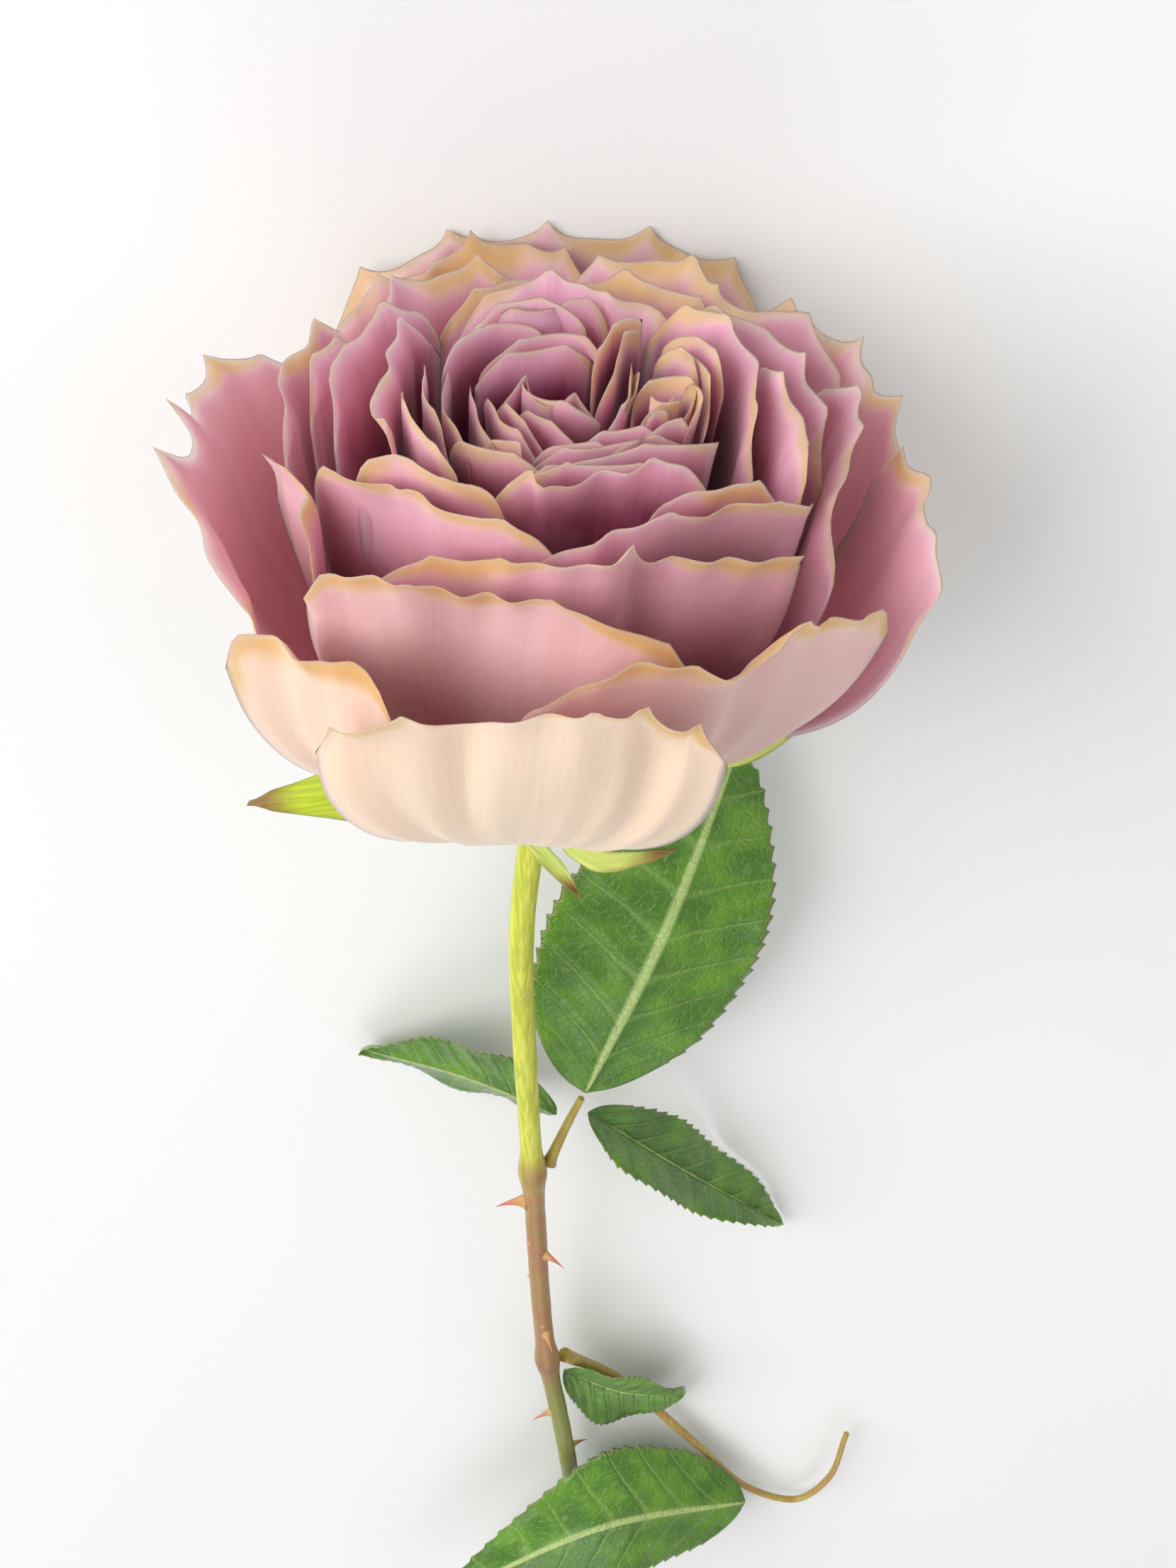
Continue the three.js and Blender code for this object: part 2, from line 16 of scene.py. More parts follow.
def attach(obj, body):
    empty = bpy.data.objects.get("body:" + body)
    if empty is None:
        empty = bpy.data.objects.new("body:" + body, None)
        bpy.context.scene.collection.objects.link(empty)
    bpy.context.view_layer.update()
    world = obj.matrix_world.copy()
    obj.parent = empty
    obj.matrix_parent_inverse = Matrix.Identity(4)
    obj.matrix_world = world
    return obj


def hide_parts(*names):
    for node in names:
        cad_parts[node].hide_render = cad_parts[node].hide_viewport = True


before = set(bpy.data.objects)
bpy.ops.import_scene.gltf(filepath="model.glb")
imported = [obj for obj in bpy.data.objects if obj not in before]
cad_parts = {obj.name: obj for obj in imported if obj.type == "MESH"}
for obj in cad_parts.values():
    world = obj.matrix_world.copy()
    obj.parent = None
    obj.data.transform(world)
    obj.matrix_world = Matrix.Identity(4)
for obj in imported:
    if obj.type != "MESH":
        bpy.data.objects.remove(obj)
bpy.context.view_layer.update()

# %% [markdown]
# ## Where the flower lies
# A rose is drawn most easily standing up, with z along the axis of the bloom and the azimuth 0
# at its front. The cut flower lies on its back, so one function carries a drawn point in
# millimetres to its place on the table in metres. Every finished mesh has its place in its
# vertices, and its object stays at the origin.

# %% From the bloom's frame to the table
MM = 0.001
RECEPTACLE = np.array([6.246, -102.639, 41.853]) * MM
TILT = math.asin(0.144666)


def on_table(points):
    x, y, z = np.moveaxis(np.asarray(points, float) * MM, -1, 0)
    sin, cos = math.sin(TILT), math.cos(TILT)
    return np.stack([-x, -y * sin - z * cos, -y * cos + z * sin], -1) + RECEPTACLE


print("receptacle at", RECEPTACLE, "tilt", round(math.degrees(TILT), 2))

# %% [markdown]
# ## One class for nodes
# Shader and geometry trees are the same thing in Blender: nodes with sockets, joined by links.
# `Tree.add` makes any node from its type, its settings and the values or links of its sockets.
# It returns a `Socket`, and sockets take part in Python expressions, so `1 - mask * 2` adds the
# Math nodes it needs. Colours are mixed by `Tree.mix`, because a Math node would turn them grey.


# %% Nodes from expressions
class Socket:
    def __init__(self, tree, link):
        self.tree = tree
        self.link = link

    def math(self, operation, *others):
        return self.tree.add("ShaderNodeMath", {"operation": operation}, dict(enumerate([self, *others])))

    def __add__(self, other):
        return self.math("ADD", other)

    def __sub__(self, other):
        return self.math("SUBTRACT", other)

    def __rsub__(self, other):
        return self.tree.add("ShaderNodeMath", {"operation": "SUBTRACT"}, {0: other, 1: self})

    def __mul__(self, other):
        return self.math("MULTIPLY", other)

    def __truediv__(self, other):
        return self.math("DIVIDE", other)

    def __pow__(self, other):
        return self.math("POWER", other)

    __radd__ = __add__
    __rmul__ = __mul__

    def between(self, low, high):
        """0 at low and 1 at high, eased; low may lie above high."""
        flip = low > high
        values = {"Value": self, "From Min": min(low, high), "From Max": max(low, high)}
        if flip:
            values.update({"To Min": 1.0, "To Max": 0.0})
        return self.tree.add("ShaderNodeMapRange", {"interpolation_type": "SMOOTHSTEP"}, values)


class Tree:
    def __init__(self, nodes, links):
        self.nodes = nodes
        self.links = links

    def add(self, kind, settings=None, sockets=None, out=0):
        node = self.nodes.new(kind)
        for name, value in (settings or {}).items():
            setattr(node, name, value)
        for name, value in (sockets or {}).items():
            if isinstance(value, Socket):
                self.links.new(value.link, node.inputs[name])
            else:
                node.inputs[name].default_value = value
        return Socket(self, node.outputs[out]) if len(node.outputs) else node

    def mix(self, mask, first, second):
        """Two colours, sockets or sRGB values, with the second one where the mask is 1."""
        first, second = (c if isinstance(c, Socket) else colour(*c) for c in (first, second))
        return self.add("ShaderNodeMix", {"data_type": "RGBA"}, {0: mask, 6: first, 7: second}, out=2)

    def coats(self, base, *coats):
        """A base colour under coats of paint, each given as its mask and its colour."""
        for mask, tone in coats:
            base = self.mix(mask, base, tone)
        return base

    def attributes(self, *names):
        return [self.add("ShaderNodeAttribute", {"attribute_name": name}, out="Fac") for name in names]

    def named(self, name, kind="FLOAT"):
        return self.add("GeometryNodeInputNamedAttribute", {"data_type": kind}, {"Name": name})

    def place(self):
        return self.add("ShaderNodeTexCoord", out="Object")

    def uv(self, name):
        return self.add("ShaderNodeUVMap", {"uv_map": name})

    def stretch(self, vector, *scale):
        return self.add("ShaderNodeMapping", {}, {"Vector": vector, "Scale": scale})

    def noise(self, vector, scale, detail=3.0):
        sockets = {"Vector": vector, "Scale": scale, "Detail": detail}
        return self.add("ShaderNodeTexNoise", {}, sockets, out="Fac")


def colour(red, green, blue):
    """An sRGB colour of 0 to 255 as the linear colour that shaders take."""
    linear = [c / 12.92 if c <= 0.04045 else ((c + 0.055) / 1.055) ** 2.4
              for c in (red / 255, green / 255, blue / 255)]
    return (*linear, 1.0)


print("dusty rose in linear light:", [round(c, 3) for c in colour(214, 150, 168)])


# %% A material is one function of its tree
def material(name, paint, **constants):
    made = bpy.data.materials.new(name)
    made.use_nodes = True
    made.node_tree.nodes.clear()
    tree = Tree(made.node_tree.nodes, made.node_tree.links)
    shader = tree.nodes.new("ShaderNodeBsdfPrincipled")
    output = tree.nodes.new("ShaderNodeOutputMaterial")
    tree.links.new(shader.outputs["BSDF"], output.inputs["Surface"])
    for socket, value in constants.items():
        shader.inputs[socket.replace("_", " ")].default_value = value
    for socket, value in paint(tree).items():
        tree.links.new(value.link, shader.inputs[socket])
    return made


def painted(tree, base, roughness, relief, depth, strength):
    """What a paint function returns: colour, roughness and the bumps of a relief, depth in metres."""
    sockets = {"Height": relief, "Distance": depth, "Strength": strength}
    normal = tree.add("ShaderNodeBump", {}, sockets, out="Normal")
    return {"Base Color": base, "Roughness": roughness, "Normal": normal}


# %% [markdown]
# ## The skin of a petal
# A rose petal is a thin velvety sheet. It is dusty mauve in the middle and deep magenta towards its
# foot, and where it dives into the flower that deep colour is darkened further as painted shade. It
# fades to cream and tan along its rim, which dries to a fine brown line. Its outer face is paler than
# its inner face, most of all on the outermost petals, and the outer petals are paled on both faces,
# partly their own cream and partly a painted glow of light shining through them. The petal meshes
# carry attributes for this: the distance to the rim in millimetres, the place of the petal in the
# bloom, a tint of its own, and which face of the sheet it is.

# %% Petal material
PETAL_MID = (222, 158, 180)
# the deep colour below is partly the petal's own deeper tone at its foot and partly painted shade for the
# recesses of the bloom
PETAL_DEEP_AND_SHADE = (142, 42, 84)
PETAL_STREAK = (196, 108, 146)
PETAL_BLUSH = (232, 184, 204)
PETAL_CREAM = (230, 206, 174)
PETAL_TAN = (208, 160, 94)
PETAL_BROWN = (166, 108, 58)


def paint_petal(tree):
    rim, ring, outer, tint = tree.attributes("rim_mm", "ring", "outer", "tint")
    grain = tree.uv("petal")
    place = tree.place()
    streaks = tree.noise(tree.stretch(grain, 1.0, 0.05, 1.0), 1.1, 4.0)
    blotches = tree.noise(place, 90.0)
    specks = tree.noise(place, 700.0, 2.0)
    dried = tree.noise(place, 42.0, 2.0).between(0.4, 0.62) * (0.45 + 0.55 * ring)
    # deep colour down into the bloom: partly the petal's own tone, partly painted shade in the recesses; less
    # of it on the outer petals
    deep_and_shade = (rim / (9 + 44 * ring)).between(0.12, 1.0) * (1 - 0.6 * ring * ring)
    # the paler outer faces are the petal's own cream; the share that pales both faces of the outer petals is
    # partly a painted glow of light shining through them
    pale_and_glow = outer * (0.06 + 0.6 * ring * ring * ring) + ring * ring * 0.26
    faded = rim / (0.5 + (1 + 1.6 * ring) * blotches + (4.4 + 3.4 * tint) * dried)
    worn = rim / (0.6 + (3.2 + 4.4 * tint) * dried)
    dry = rim / (0.12 + 0.55 * specks)
    base = tree.coats(
        PETAL_MID,
        (deep_and_shade, PETAL_DEEP_AND_SHADE),
        (streaks.between(0.42, 0.7) * 0.14, PETAL_STREAK),
        (blotches.between(0.45, 0.75) * 0.2, PETAL_BLUSH),
        (pale_and_glow * (0.82 + 0.18 * streaks.between(0.3, 0.7)), PETAL_CREAM),
        (faded.between(1.15, 0.1) * (0.4 + 0.5 * dried), PETAL_CREAM),
        (worn.between(1.15, 0.3) * (0.55 + 0.4 * dried), PETAL_TAN),
        (dry.between(1.0, 0.35) * 0.8, PETAL_BROWN))
    relief = streaks * 0.3 + tree.noise(grain, 0.45, 5.0) * 0.6 + specks * 0.1
    return painted(tree, base, 0.5 + 0.22 * streaks, relief, 0.0003, 0.6)


petal_skin = material(
    "petal_skin", paint_petal, Subsurface_Weight=0.4, Subsurface_Scale=0.003,
    Subsurface_Radius=(1.0, 0.6, 0.62), Sheen_Weight=0.25, Sheen_Roughness=0.4, Specular_IOR_Level=0.35)
print("petal nodes:", len(petal_skin.node_tree.nodes))

# %% [markdown]
# ## From a surface to a sheet
# Every thin piece here, petal, leaf or sepal, starts as one surface: a grid of points with
# attributes. A real sheet has two faces that meet along its edge. Solidify could do this, but a
# small Geometry Nodes tree does it better: it moves one copy out and a flipped copy in, tells the
# faces apart in an attribute, and welds them along the edge, where the thickness fades to
# nothing. The same tree serves all sheets, with the thickness and material as its inputs.


# %% A mesh object with values on its points
def new_mesh(name, points, edges=(), faces=(), attributes=None):
    mesh = bpy.data.meshes.new(name)
    mesh.from_pydata(points.reshape(-1, 3).tolist(), edges, faces)
    for key, values in (attributes or {}).items():
        spread = np.broadcast_to(values, points.shape[:-1]).astype(np.float32).ravel()
        mesh.attributes.new(key, "FLOAT", "POINT").data.foreach_set("value", spread)
    return mesh


def new_piece(name, mesh):
    piece = bpy.data.objects.new(name, mesh)
    bpy.context.scene.collection.objects.link(piece)
    return piece


def finish_piece(piece, node):
    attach(piece, "root")
    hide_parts(node)
    return piece


# %% The sheet tree
def new_group(name, inputs):
    group = bpy.data.node_groups.new(name, "GeometryNodeTree")
    group.interface.new_socket("Geometry", in_out="INPUT", socket_type="NodeSocketGeometry")
    for label, kind in inputs:
        group.interface.new_socket(label, in_out="INPUT", socket_type=kind)
    group.interface.new_socket("Geometry", in_out="OUTPUT", socket_type="NodeSocketGeometry")
    tree = Tree(group.nodes, group.links)
    source = group.nodes.new("NodeGroupInput")
    given = {item.name: Socket(tree, item) for item in source.outputs if item.name}
    return group, tree, given


def close_group(group, tree, geometry, skin):
    real = tree.add("GeometryNodeRealizeInstances", {}, {"Geometry": geometry})
    smooth = tree.add("GeometryNodeSetShadeSmooth", {}, {"Geometry": real})
    finished = tree.add("GeometryNodeSetMaterial", {}, {"Geometry": smooth, "Material": skin})
    output = group.nodes.new("NodeGroupOutput")
    group.links.new(finished.link, output.inputs["Geometry"])
    return group


WELD = 1e-7


def sheet_group():
    inputs = [("Thickness", "NodeSocketFloat"), ("Material", "NodeSocketMaterial")]
    group, tree, given = new_group("two_faced_sheet", inputs)
    body = tree.named("body")
    normal = tree.add("GeometryNodeInputNormal")
    faces = []
    for side in (1.0, -1.0):
        reach = body * given["Thickness"] * (0.5 * side)
        push = tree.add("ShaderNodeVectorMath", {"operation": "SCALE"}, {0: normal, "Scale": reach})
        moved = tree.add("GeometryNodeSetPosition", {}, {"Geometry": given["Geometry"], "Offset": push})
        if side < 0:
            moved = tree.add("GeometryNodeFlipFaces", {}, {"Mesh": moved})
        told = {"Geometry": moved, "Name": "outer", "Value": max(side, 0.0)}
        settings = {"data_type": "FLOAT", "domain": "POINT"}
        faces.append(tree.add("GeometryNodeStoreNamedAttribute", settings, told))
    join = tree.nodes.new("GeometryNodeJoinGeometry")
    for face in reversed(faces):
        tree.links.new(face.link, join.inputs[0])
    joined = {"Geometry": Socket(tree, join.outputs[0]), "Distance": WELD}
    welded = tree.add("GeometryNodeMergeByDistance", {}, joined)
    return close_group(group, tree, welded, given["Material"])


SHEET = sheet_group()
print("sheet tree:", len(SHEET.nodes), "nodes")


# %% Run a tree on a piece and keep the plain mesh
def apply_group(piece, group, values):
    modifier = piece.modifiers.new(group.name, "NODES")
    modifier.node_group = group
    for item in group.interface.items_tree:
        if item.in_out == "INPUT" and item.name in values:
            modifier[item.identifier] = values[item.name]
    evaluated = piece.evaluated_get(bpy.context.evaluated_depsgraph_get())
    made = bpy.data.meshes.new_from_object(evaluated)
    piece.modifiers.remove(modifier)
    old = piece.data
    piece.data = made
    bpy.data.meshes.remove(old)
    made.name = piece.name
    return piece


# %% A grid of points as a sheet, kept above the table
TABLE_GAP = 0.0004


def sheet(name, points, attributes, uv, uv_name, thickness, skin):
    rows, columns = points.shape[:2]
    index = np.arange(rows * columns).reshape(rows, columns)
    corners = [index[:-1, :-1], index[:-1, 1:], index[1:, 1:], index[1:, :-1]]
    quads = np.stack(corners, -1).reshape(-1, 4)
    placed = on_table(points)
    placed[..., 2] = np.maximum(placed[..., 2], TABLE_GAP)
    mesh = new_mesh(name, placed, (), quads.tolist(), attributes)
    layer = mesh.uv_layers.new(name=uv_name)
    layer.data.foreach_set("uv", uv.reshape(-1, 2)[quads.ravel()].astype(np.float32).ravel())
    return apply_group(new_piece(name, mesh), SHEET, {"Thickness": thickness * MM, "Material": skin})

# %% [markdown]
# ## How the bloom is nested
# All petals belong to one family of cups. A petal of the heart is an arc in plan about its own
# centre, and every arc narrows by the same rule to the receptacle, so arcs that are clear of one
# another at the rim stay clear all the way down, until ruffles make close neighbours touch.
# The petals round the heart are packed layer by layer: each rim keeps a gap to everything inside
# it, and each foot stands a little further out. The CAD part follows the same rule on a coarse
# grid. Here it runs on a fine one, with the numbers of the frame, in millimetres and degrees.

# %% The bloom's numbers
BLOOM_HEIGHT = 65.0
HEART_RADIUS = 22.5
HEART_DIP = 4.0
HEART_FLARE = 0.25
RIM_GAP = 1.25
BASE_RADIUS = 5.6
BASE_STEP = 0.48
HIP_SHIFT = -6.0
RIM_DROP = 15.5
RIM_DROP_FRONT = 4.7
CUP_FLARE = 0.9
SEAT_SLOPE = 0.6
AZIMUTH_STEP = 4
DIRECTIONS = 360 // AZIMUTH_STEP
CORNER_DROP = 0.1
PETAL_THICKNESS = 0.5

# how far the corners of a rim are cut back, and how wide the foot is, as shares
SHAPE_INNER = (0.03, 0.5)
SHAPE_OUTER = (0.09, 0.22)

# name, centre x and y, azimuth from and to, radius at the start, in the middle and at the end
HEART = [
    ("swirl_petal_1", 13.2, -1, -150, 130, (1.2, 1.5, 2.4)),
    ("swirl_petal_2", 13.2, -1, 25, 300, (3.4, 3.9, 3.9)),
    ("heart_petal_01", 0.5, 6, -97, 38, (6.1, 6.8, 7.2)),
    ("heart_petal_02", 0, 0, -95, 24, (6.6, 5.0, 7.8)),
    ("heart_petal_03", 0, 0, -100, -8, (8.4, 7.6, 9.4)),
    ("heart_petal_04", 0, 0, -106, -12, (11.2, 9.8, 12.2)),
    ("heart_petal_05", 6, 8, -19, 28, (18.7, 16.2, 16.4)),
    ("heart_petal_06", 0, 0, -22, 64, (14.2, 12.4, 17.6)),
    ("heart_petal_07", 0, 0, -116, -30, (14.0, 12.6, 15.2)),
    ("heart_petal_08", 19, 8, -146, -72, (14.4, 14.2, 15.6)),
    ("heart_petal_09", 0, 0, -22, 67, (18.4, 15.4, 22.2)),
    ("heart_petal_10", 0, 0, -57, -9, (18.4, 16.8, 14.8)),
    ("heart_petal_11", 0, 0, -116, -44, (21.5, 18.9, 20.4)),
    ("heart_petal_12", 0, 0, 162, 242, (13.5, 11.2, 14.2)),
    ("heart_petal_13", 0, 0, 188, 256, (15.5, 18.6, 17.2)),
    ("heart_petal_14", -10, 4, 62, 106, (18.7, 19.4, 20.0)),
    ("heart_petal_15", 0, 0, 72, 131, (19.4, 18.9, 16.8)),
]

# name, azimuth from and to, rim radius at the start, in the middle and at the end, rise, and the
# tips of the rim, each as its place along the rim and its height in mm
LAYERS = [
    ("inner_petal_01", 160, 222, (18.5, 18.2, 20.5), -0.02, [(0.2, 1.5)]),
    ("inner_petal_02", -27, 52, (22.4, 20.4, 25.4), 0.02, [(0.3, 1)]),
    ("inner_petal_03", -140, -54, (25.5, 23.2, 24.4), 0, [(0.15, 2.5)]),
    ("inner_petal_04", -66, -16, (26.5, 25.2, 22.6), 0.02, [(0.1, 1.5)]),
    ("inner_petal_05", 66, 150, (25.4, 24.0, 24.0), 0, [(0.7, 2)]),
    ("inner_petal_06", 140, 216, (27.0, 23.5, 27.0), -0.01, [(0.6, 2)]),
    ("middle_petal_01", 20, 64, (26.2, 26.2, 32.8), 0, [(0.8, 1.5)]),
    ("middle_petal_02", 60, 116, (30.0, 27.6, 28.5), 0, [(0.2, 2)]),
    ("middle_petal_03", -78, 2, (33.5, 27.9, 28.8), 0.03, [(0.1, 2)]),
    ("middle_petal_04", -12, 74, (30.4, 28.2, 34.8), 0.02, [(0.25, 1.5)]),
    ("middle_petal_05", 216, 268, (31.0, 30.0, 30.0), 0, [(0.3, 3)]),
    ("middle_petal_06", 80, 150, (32.8, 31.0, 30.0), 0, [(0.4, 2)]),
    ("middle_petal_07", 138, 216, (31.0, 30.0, 32.0), -0.01, [(0.35, 2)]),
    ("middle_petal_08", -44, 58, (35.5, 31.4, 38.4), 0.02, [(0.56, 6), (0.94, 3)]),
    ("middle_petal_09", 186, 256, (36.0, 34.5, 35.5), 0.01, [(0.5, 3), (0.2, 2), (0.8, 2.5)]),
    ("outer_petal_01", -88, -54, (36.5, 35.6, 39.0), 0, [(0.2, 2.5)]),
    ("outer_petal_02", 62, 118, (36.5, 37.8, 40.5), 0, [(0.7, 3)]),
    ("outer_petal_03", 108, 184, (40.0, 38.0, 40.0), 0.01, [(0.6, 3), (0.25, 2.5), (0.85, 2.5)]),
    ("outer_petal_04", 226, 264, (41.0, 39.2, 37.4), 0.01, [(0.3, 3)]),
    ("outer_petal_05", -56, 28, (40.0, 34.6, 42.6), 0.03, [(0.12, 3), (0.32, 2)]),
    ("outer_petal_06", 170, 238, (43.0, 42.5, 44.0), 0.01, [(0.4, 3), (0.15, 2.5), (0.7, 2.5)]),
    ("outer_petal_07", -10, 66, (46.5, 41.4, 51.5), 0.01, [(0.95, 4), (0.7, 3)]),
    ("outer_petal_08", 66, 100, (50.0, 48.8, 46.5), 0, [(0.6, 3), (0.3, 2.5), (0.85, 3)]),
    ("outer_petal_09", -130, -62, (47.5, 48.5, 44.4), 0.02, [(0.5, 8), (0.68, 8), (0.24, 3)]),
    ("outer_petal_10", 92, 150, (48.5, 46.2, 47.0), -0.02, [(0.5, 3), (0.25, 3), (0.78, 3)]),
    ("outer_petal_11", 142, 224, (50.0, 50.0, 50.5), 0.05,
     [(0.3, 3), (0.7, 3), (0.12, 2.5), (0.5, 3), (0.88, 2.5)]),
    ("outer_petal_12", -56, -24, (48.8, 47.0, 46.0), 0.02, [(0.3, 2), (0.08, 4), (0.7, 1.5)]),
    ("outer_petal_13", -34, 27, (50.5, 46.4, 50.0), 0.04,
     [(0.22, 3), (0.76, 6), (0.05, 4), (0.64, 4), (0.9, 5)]),
]
print("petals:", len(HEART) + len(LAYERS))


# %% The family of cups
def rim_height(radius, azimuth):
    drop = RIM_DROP + RIM_DROP_FRONT * np.cos(np.radians(azimuth))
    return BLOOM_HEIGHT - drop * (np.maximum(radius - 20, 0) / 28) ** 1.3


def smoothstep(x, low, high):
    t = np.clip((x - low) / (high - low), 0, 1)
    return t * t * (3 - 2 * t)


def flare_at(radius, azimuth):
    angle = np.radians(azimuth)
    turned = (0.5 - 0.5 * np.cos(angle)) * (1 - 0.45 * np.sin(angle))
    return HEART_FLARE + (CUP_FLARE * turned - HEART_FLARE) * smoothstep(radius, HEART_RADIUS, 50)


def cup(s, flare):
    t = np.clip(s, 0, 1)
    return (1 - (1 - t) ** (2.5 - flare)) ** (0.68 + 0.2 * flare) + 0.12 * np.maximum(s - 1, 0)


def through(ends, t):
    a, m, b = ends
    return a * (1 - t) * (1 - 2 * t) + m * 4 * t * (1 - t) + b * t * (2 * t - 1)


def lean(z):
    return HIP_SHIFT * (1 - z / BLOOM_HEIGHT)


# %% Pack the layers round the heart
def softened(values):
    padded = np.pad(values, 1, mode="edge")
    return 0.5 * values + 0.25 * (padded[:-2] + padded[2:])


def heart_outline():
    outline = np.full(DIRECTIONS, 14.0)
    for _, cx, cy, start, end, ends in HEART:
        u = np.arange(0, 1.0001, 0.02)
        angle = np.radians(start + (end - start) * u)
        x = cx + through(ends, u) * np.sin(angle)
        y = cy - through(ends, u) * np.cos(angle)
        seen = np.degrees(np.arctan2(x, -y)) / AZIMUTH_STEP
        for slots in (np.floor(seen), np.ceil(seen)):
            np.maximum.at(outline, slots.astype(int) % DIRECTIONS, np.hypot(x, y))
    return outline


def pack_layers():
    outline = heart_outline()
    feet = np.full(DIRECTIONS, BASE_RADIUS)
    packed = []
    for name, start, end, ends, rise, points in LAYERS:
        steps = np.arange(math.floor(start / AZIMUTH_STEP) - 1, math.ceil(end / AZIMUTH_STEP) + 2)
        slots = steps % DIRECTIONS
        t = np.clip((steps * AZIMUTH_STEP - start) / (end - start), 0, 1)
        floor = outline[slots] + RIM_GAP
        rims = np.maximum(through(ends, t), floor)
        rims = np.maximum(softened(rims), floor)
        foot = feet[slots].max() + BASE_STEP
        outline[slots] = rims
        feet[slots] = foot
        packed.append({"name": name, "range": (start, end), "slots": slots, "rims": rims, "foot": foot,
                       "azimuths": steps * AZIMUTH_STEP, "rise": rise, "points": points})
    return packed


LAYER_PLAN = pack_layers()
SEAT_RADIUS = max(layer["foot"] for layer in LAYER_PLAN) + 0.5
print("seat radius:", round(SEAT_RADIUS, 2))


# %% [markdown]
# ## Room for each rim to curl
# Rose rims roll outwards, and the further from their neighbours they stand the more they roll.
# So each petal first asks how much free room there is outside its rim, direction by direction,
# and its curl, ruffles and waves all take a share of that room. Few petals touch, and the
# widest gaps get the boldest curls, as on the real flower.

# %% Free room outside every rim
FREE_OUTSIDE = 7.0
ROOM_LEAST = 1.3
ROLL_MOST = 5.8


def free_room(plan):
    for i, layer in enumerate(plan):
        room = np.full(len(layer["slots"]), FREE_OUTSIDE)
        for other in plan[i + 1:]:
            for k, slot in enumerate(other["slots"]):
                hit = layer["slots"] == slot
                room[hit] = np.minimum(room[hit], other["rims"][k] - layer["rims"][hit])
        layer["room"] = np.minimum(room, softened(room))


free_room(LAYER_PLAN)
print("free room of the last layer:", LAYER_PLAN[-1]["room"].max())


# %% Read a packed value smoothly between its directions
def smooth_between(values, azimuths, azimuth):
    k = np.clip((azimuth - azimuths[0]) / AZIMUTH_STEP, 0, len(values) - 1.001)
    low = np.floor(k).astype(int)
    t = k - low
    a, b, c, d = (values[np.clip(low + i, 0, len(values) - 1)] for i in (-1, 0, 1, 2))
    return b + 0.5 * t * (c - a + t * (2 * a - 5 * b + 4 * c - d + t * (3 * (b - c) + d - a)))


# %% [markdown]
# ## One fine petal
# The rim of this rose is not a smooth arc. It runs in shallow scallops between sharp little
# tips, which stand upright where the rim between them rolls. The margin is worked out first, as
# the height of the rim along the petal. Then the grid of the petal is bent: a roll along the
# rim, small ruffles that die away below it, slow waves across the sheet, and a shallow fold
# under each tip.

# %% Margins with tips
COLUMN_MM = 0.85
FEWEST_COLUMNS = 16
PETAL_ROWS = 46
TIP_SPACING = 15
TIP_CLEARANCE = 0.09

# creases: place along the rim, depth inwards and half width, both in mm
CREASES = {
    "inner_petal_02": [(0.55, 1.2, 6)],
    "inner_petal_06": [(0.3, 1.4, 5)],
    "middle_petal_03": [(0.3, 1.6, 8), (0.75, -1.2, 8)],
    "middle_petal_04": [(0.55, 1.4, 6)],
    "middle_petal_07": [(0.5, 1.8, 6)],
    "middle_petal_08": [(0.63, 4, 3.6), (0.5, -1.6, 7), (0.2, 1, 8)],
    "middle_petal_09": [(0.72, 2.5, 5)],
    "outer_petal_03": [(0.45, 2, 6)],
    "outer_petal_05": [(0.24, -2.6, 8), (0.42, 2.2, 7), (0.8, -1, 8)],
    "outer_petal_07": [(0.3, -1.5, 9), (0.6, 1.5, 7)],
    "outer_petal_09": [(0.5, 2, 5)],
    "outer_petal_12": [(0.4, 1.8, 5)],
    "outer_petal_13": [(0.34, 2.6, 2.6), (0.14, -1.5, 7), (0.55, -1.8, 10), (0.84, 1.6, 4)],
}


def tips_of(name, main, width_mm):
    """The main tips of a rim with small ones scattered between them, and the petal's dice."""
    dice = random.Random(name)
    tips = [(at, tall, 1.0) for at, tall in main]
    count = max(2, round(width_mm / TIP_SPACING))
    for k in range(count):
        at = (k + dice.uniform(0.2, 0.8)) / count
        if all(abs(at - other[0]) > TIP_CLEARANCE for other in tips):
            tips.append((at, dice.uniform(0.6, 2.4), dice.uniform(0.5, 1.0)))
    return tips, dice


def margin(u, tips, width_mm):
    """Extra height of the rim in mm, and how strongly it is pinched, along the petal."""
    tall = np.zeros_like(u)
    pinch = np.zeros_like(u)
    for at, height, sharp in tips:
        away = np.abs(u - at) * width_mm
        tall += height * (0.6 * np.exp(-away / 1.5) + 0.4 * np.exp(-away / (2.5 + 0.6 * height)))
        pinch += min(1.8, height / 2.5) * sharp * np.exp(-(away / 2.6) ** 1.5)
    return tall, pinch


def waves(u, dice, count, turns):
    total = np.zeros_like(u)
    for _ in range(count):
        total += dice.uniform(0.4, 1) * np.sin(2 * math.pi * (u * dice.uniform(*turns) + dice.random()))
    return total / count


# %% Bend a petal
def petal_grid(name, main, width_mm, column_mm):
    """Places u along the rim and v up the petal, the tips of the rim, and the petal's dice."""
    tips, dice = tips_of(name, main, width_mm)
    columns = max(FEWEST_COLUMNS, round(width_mm / column_mm))
    u, t = np.meshgrid(np.linspace(0, 1, columns + 1), np.linspace(0, 1, PETAL_ROWS + 1))
    return u, 1 - (1 - t) ** 1.35, tips, dice


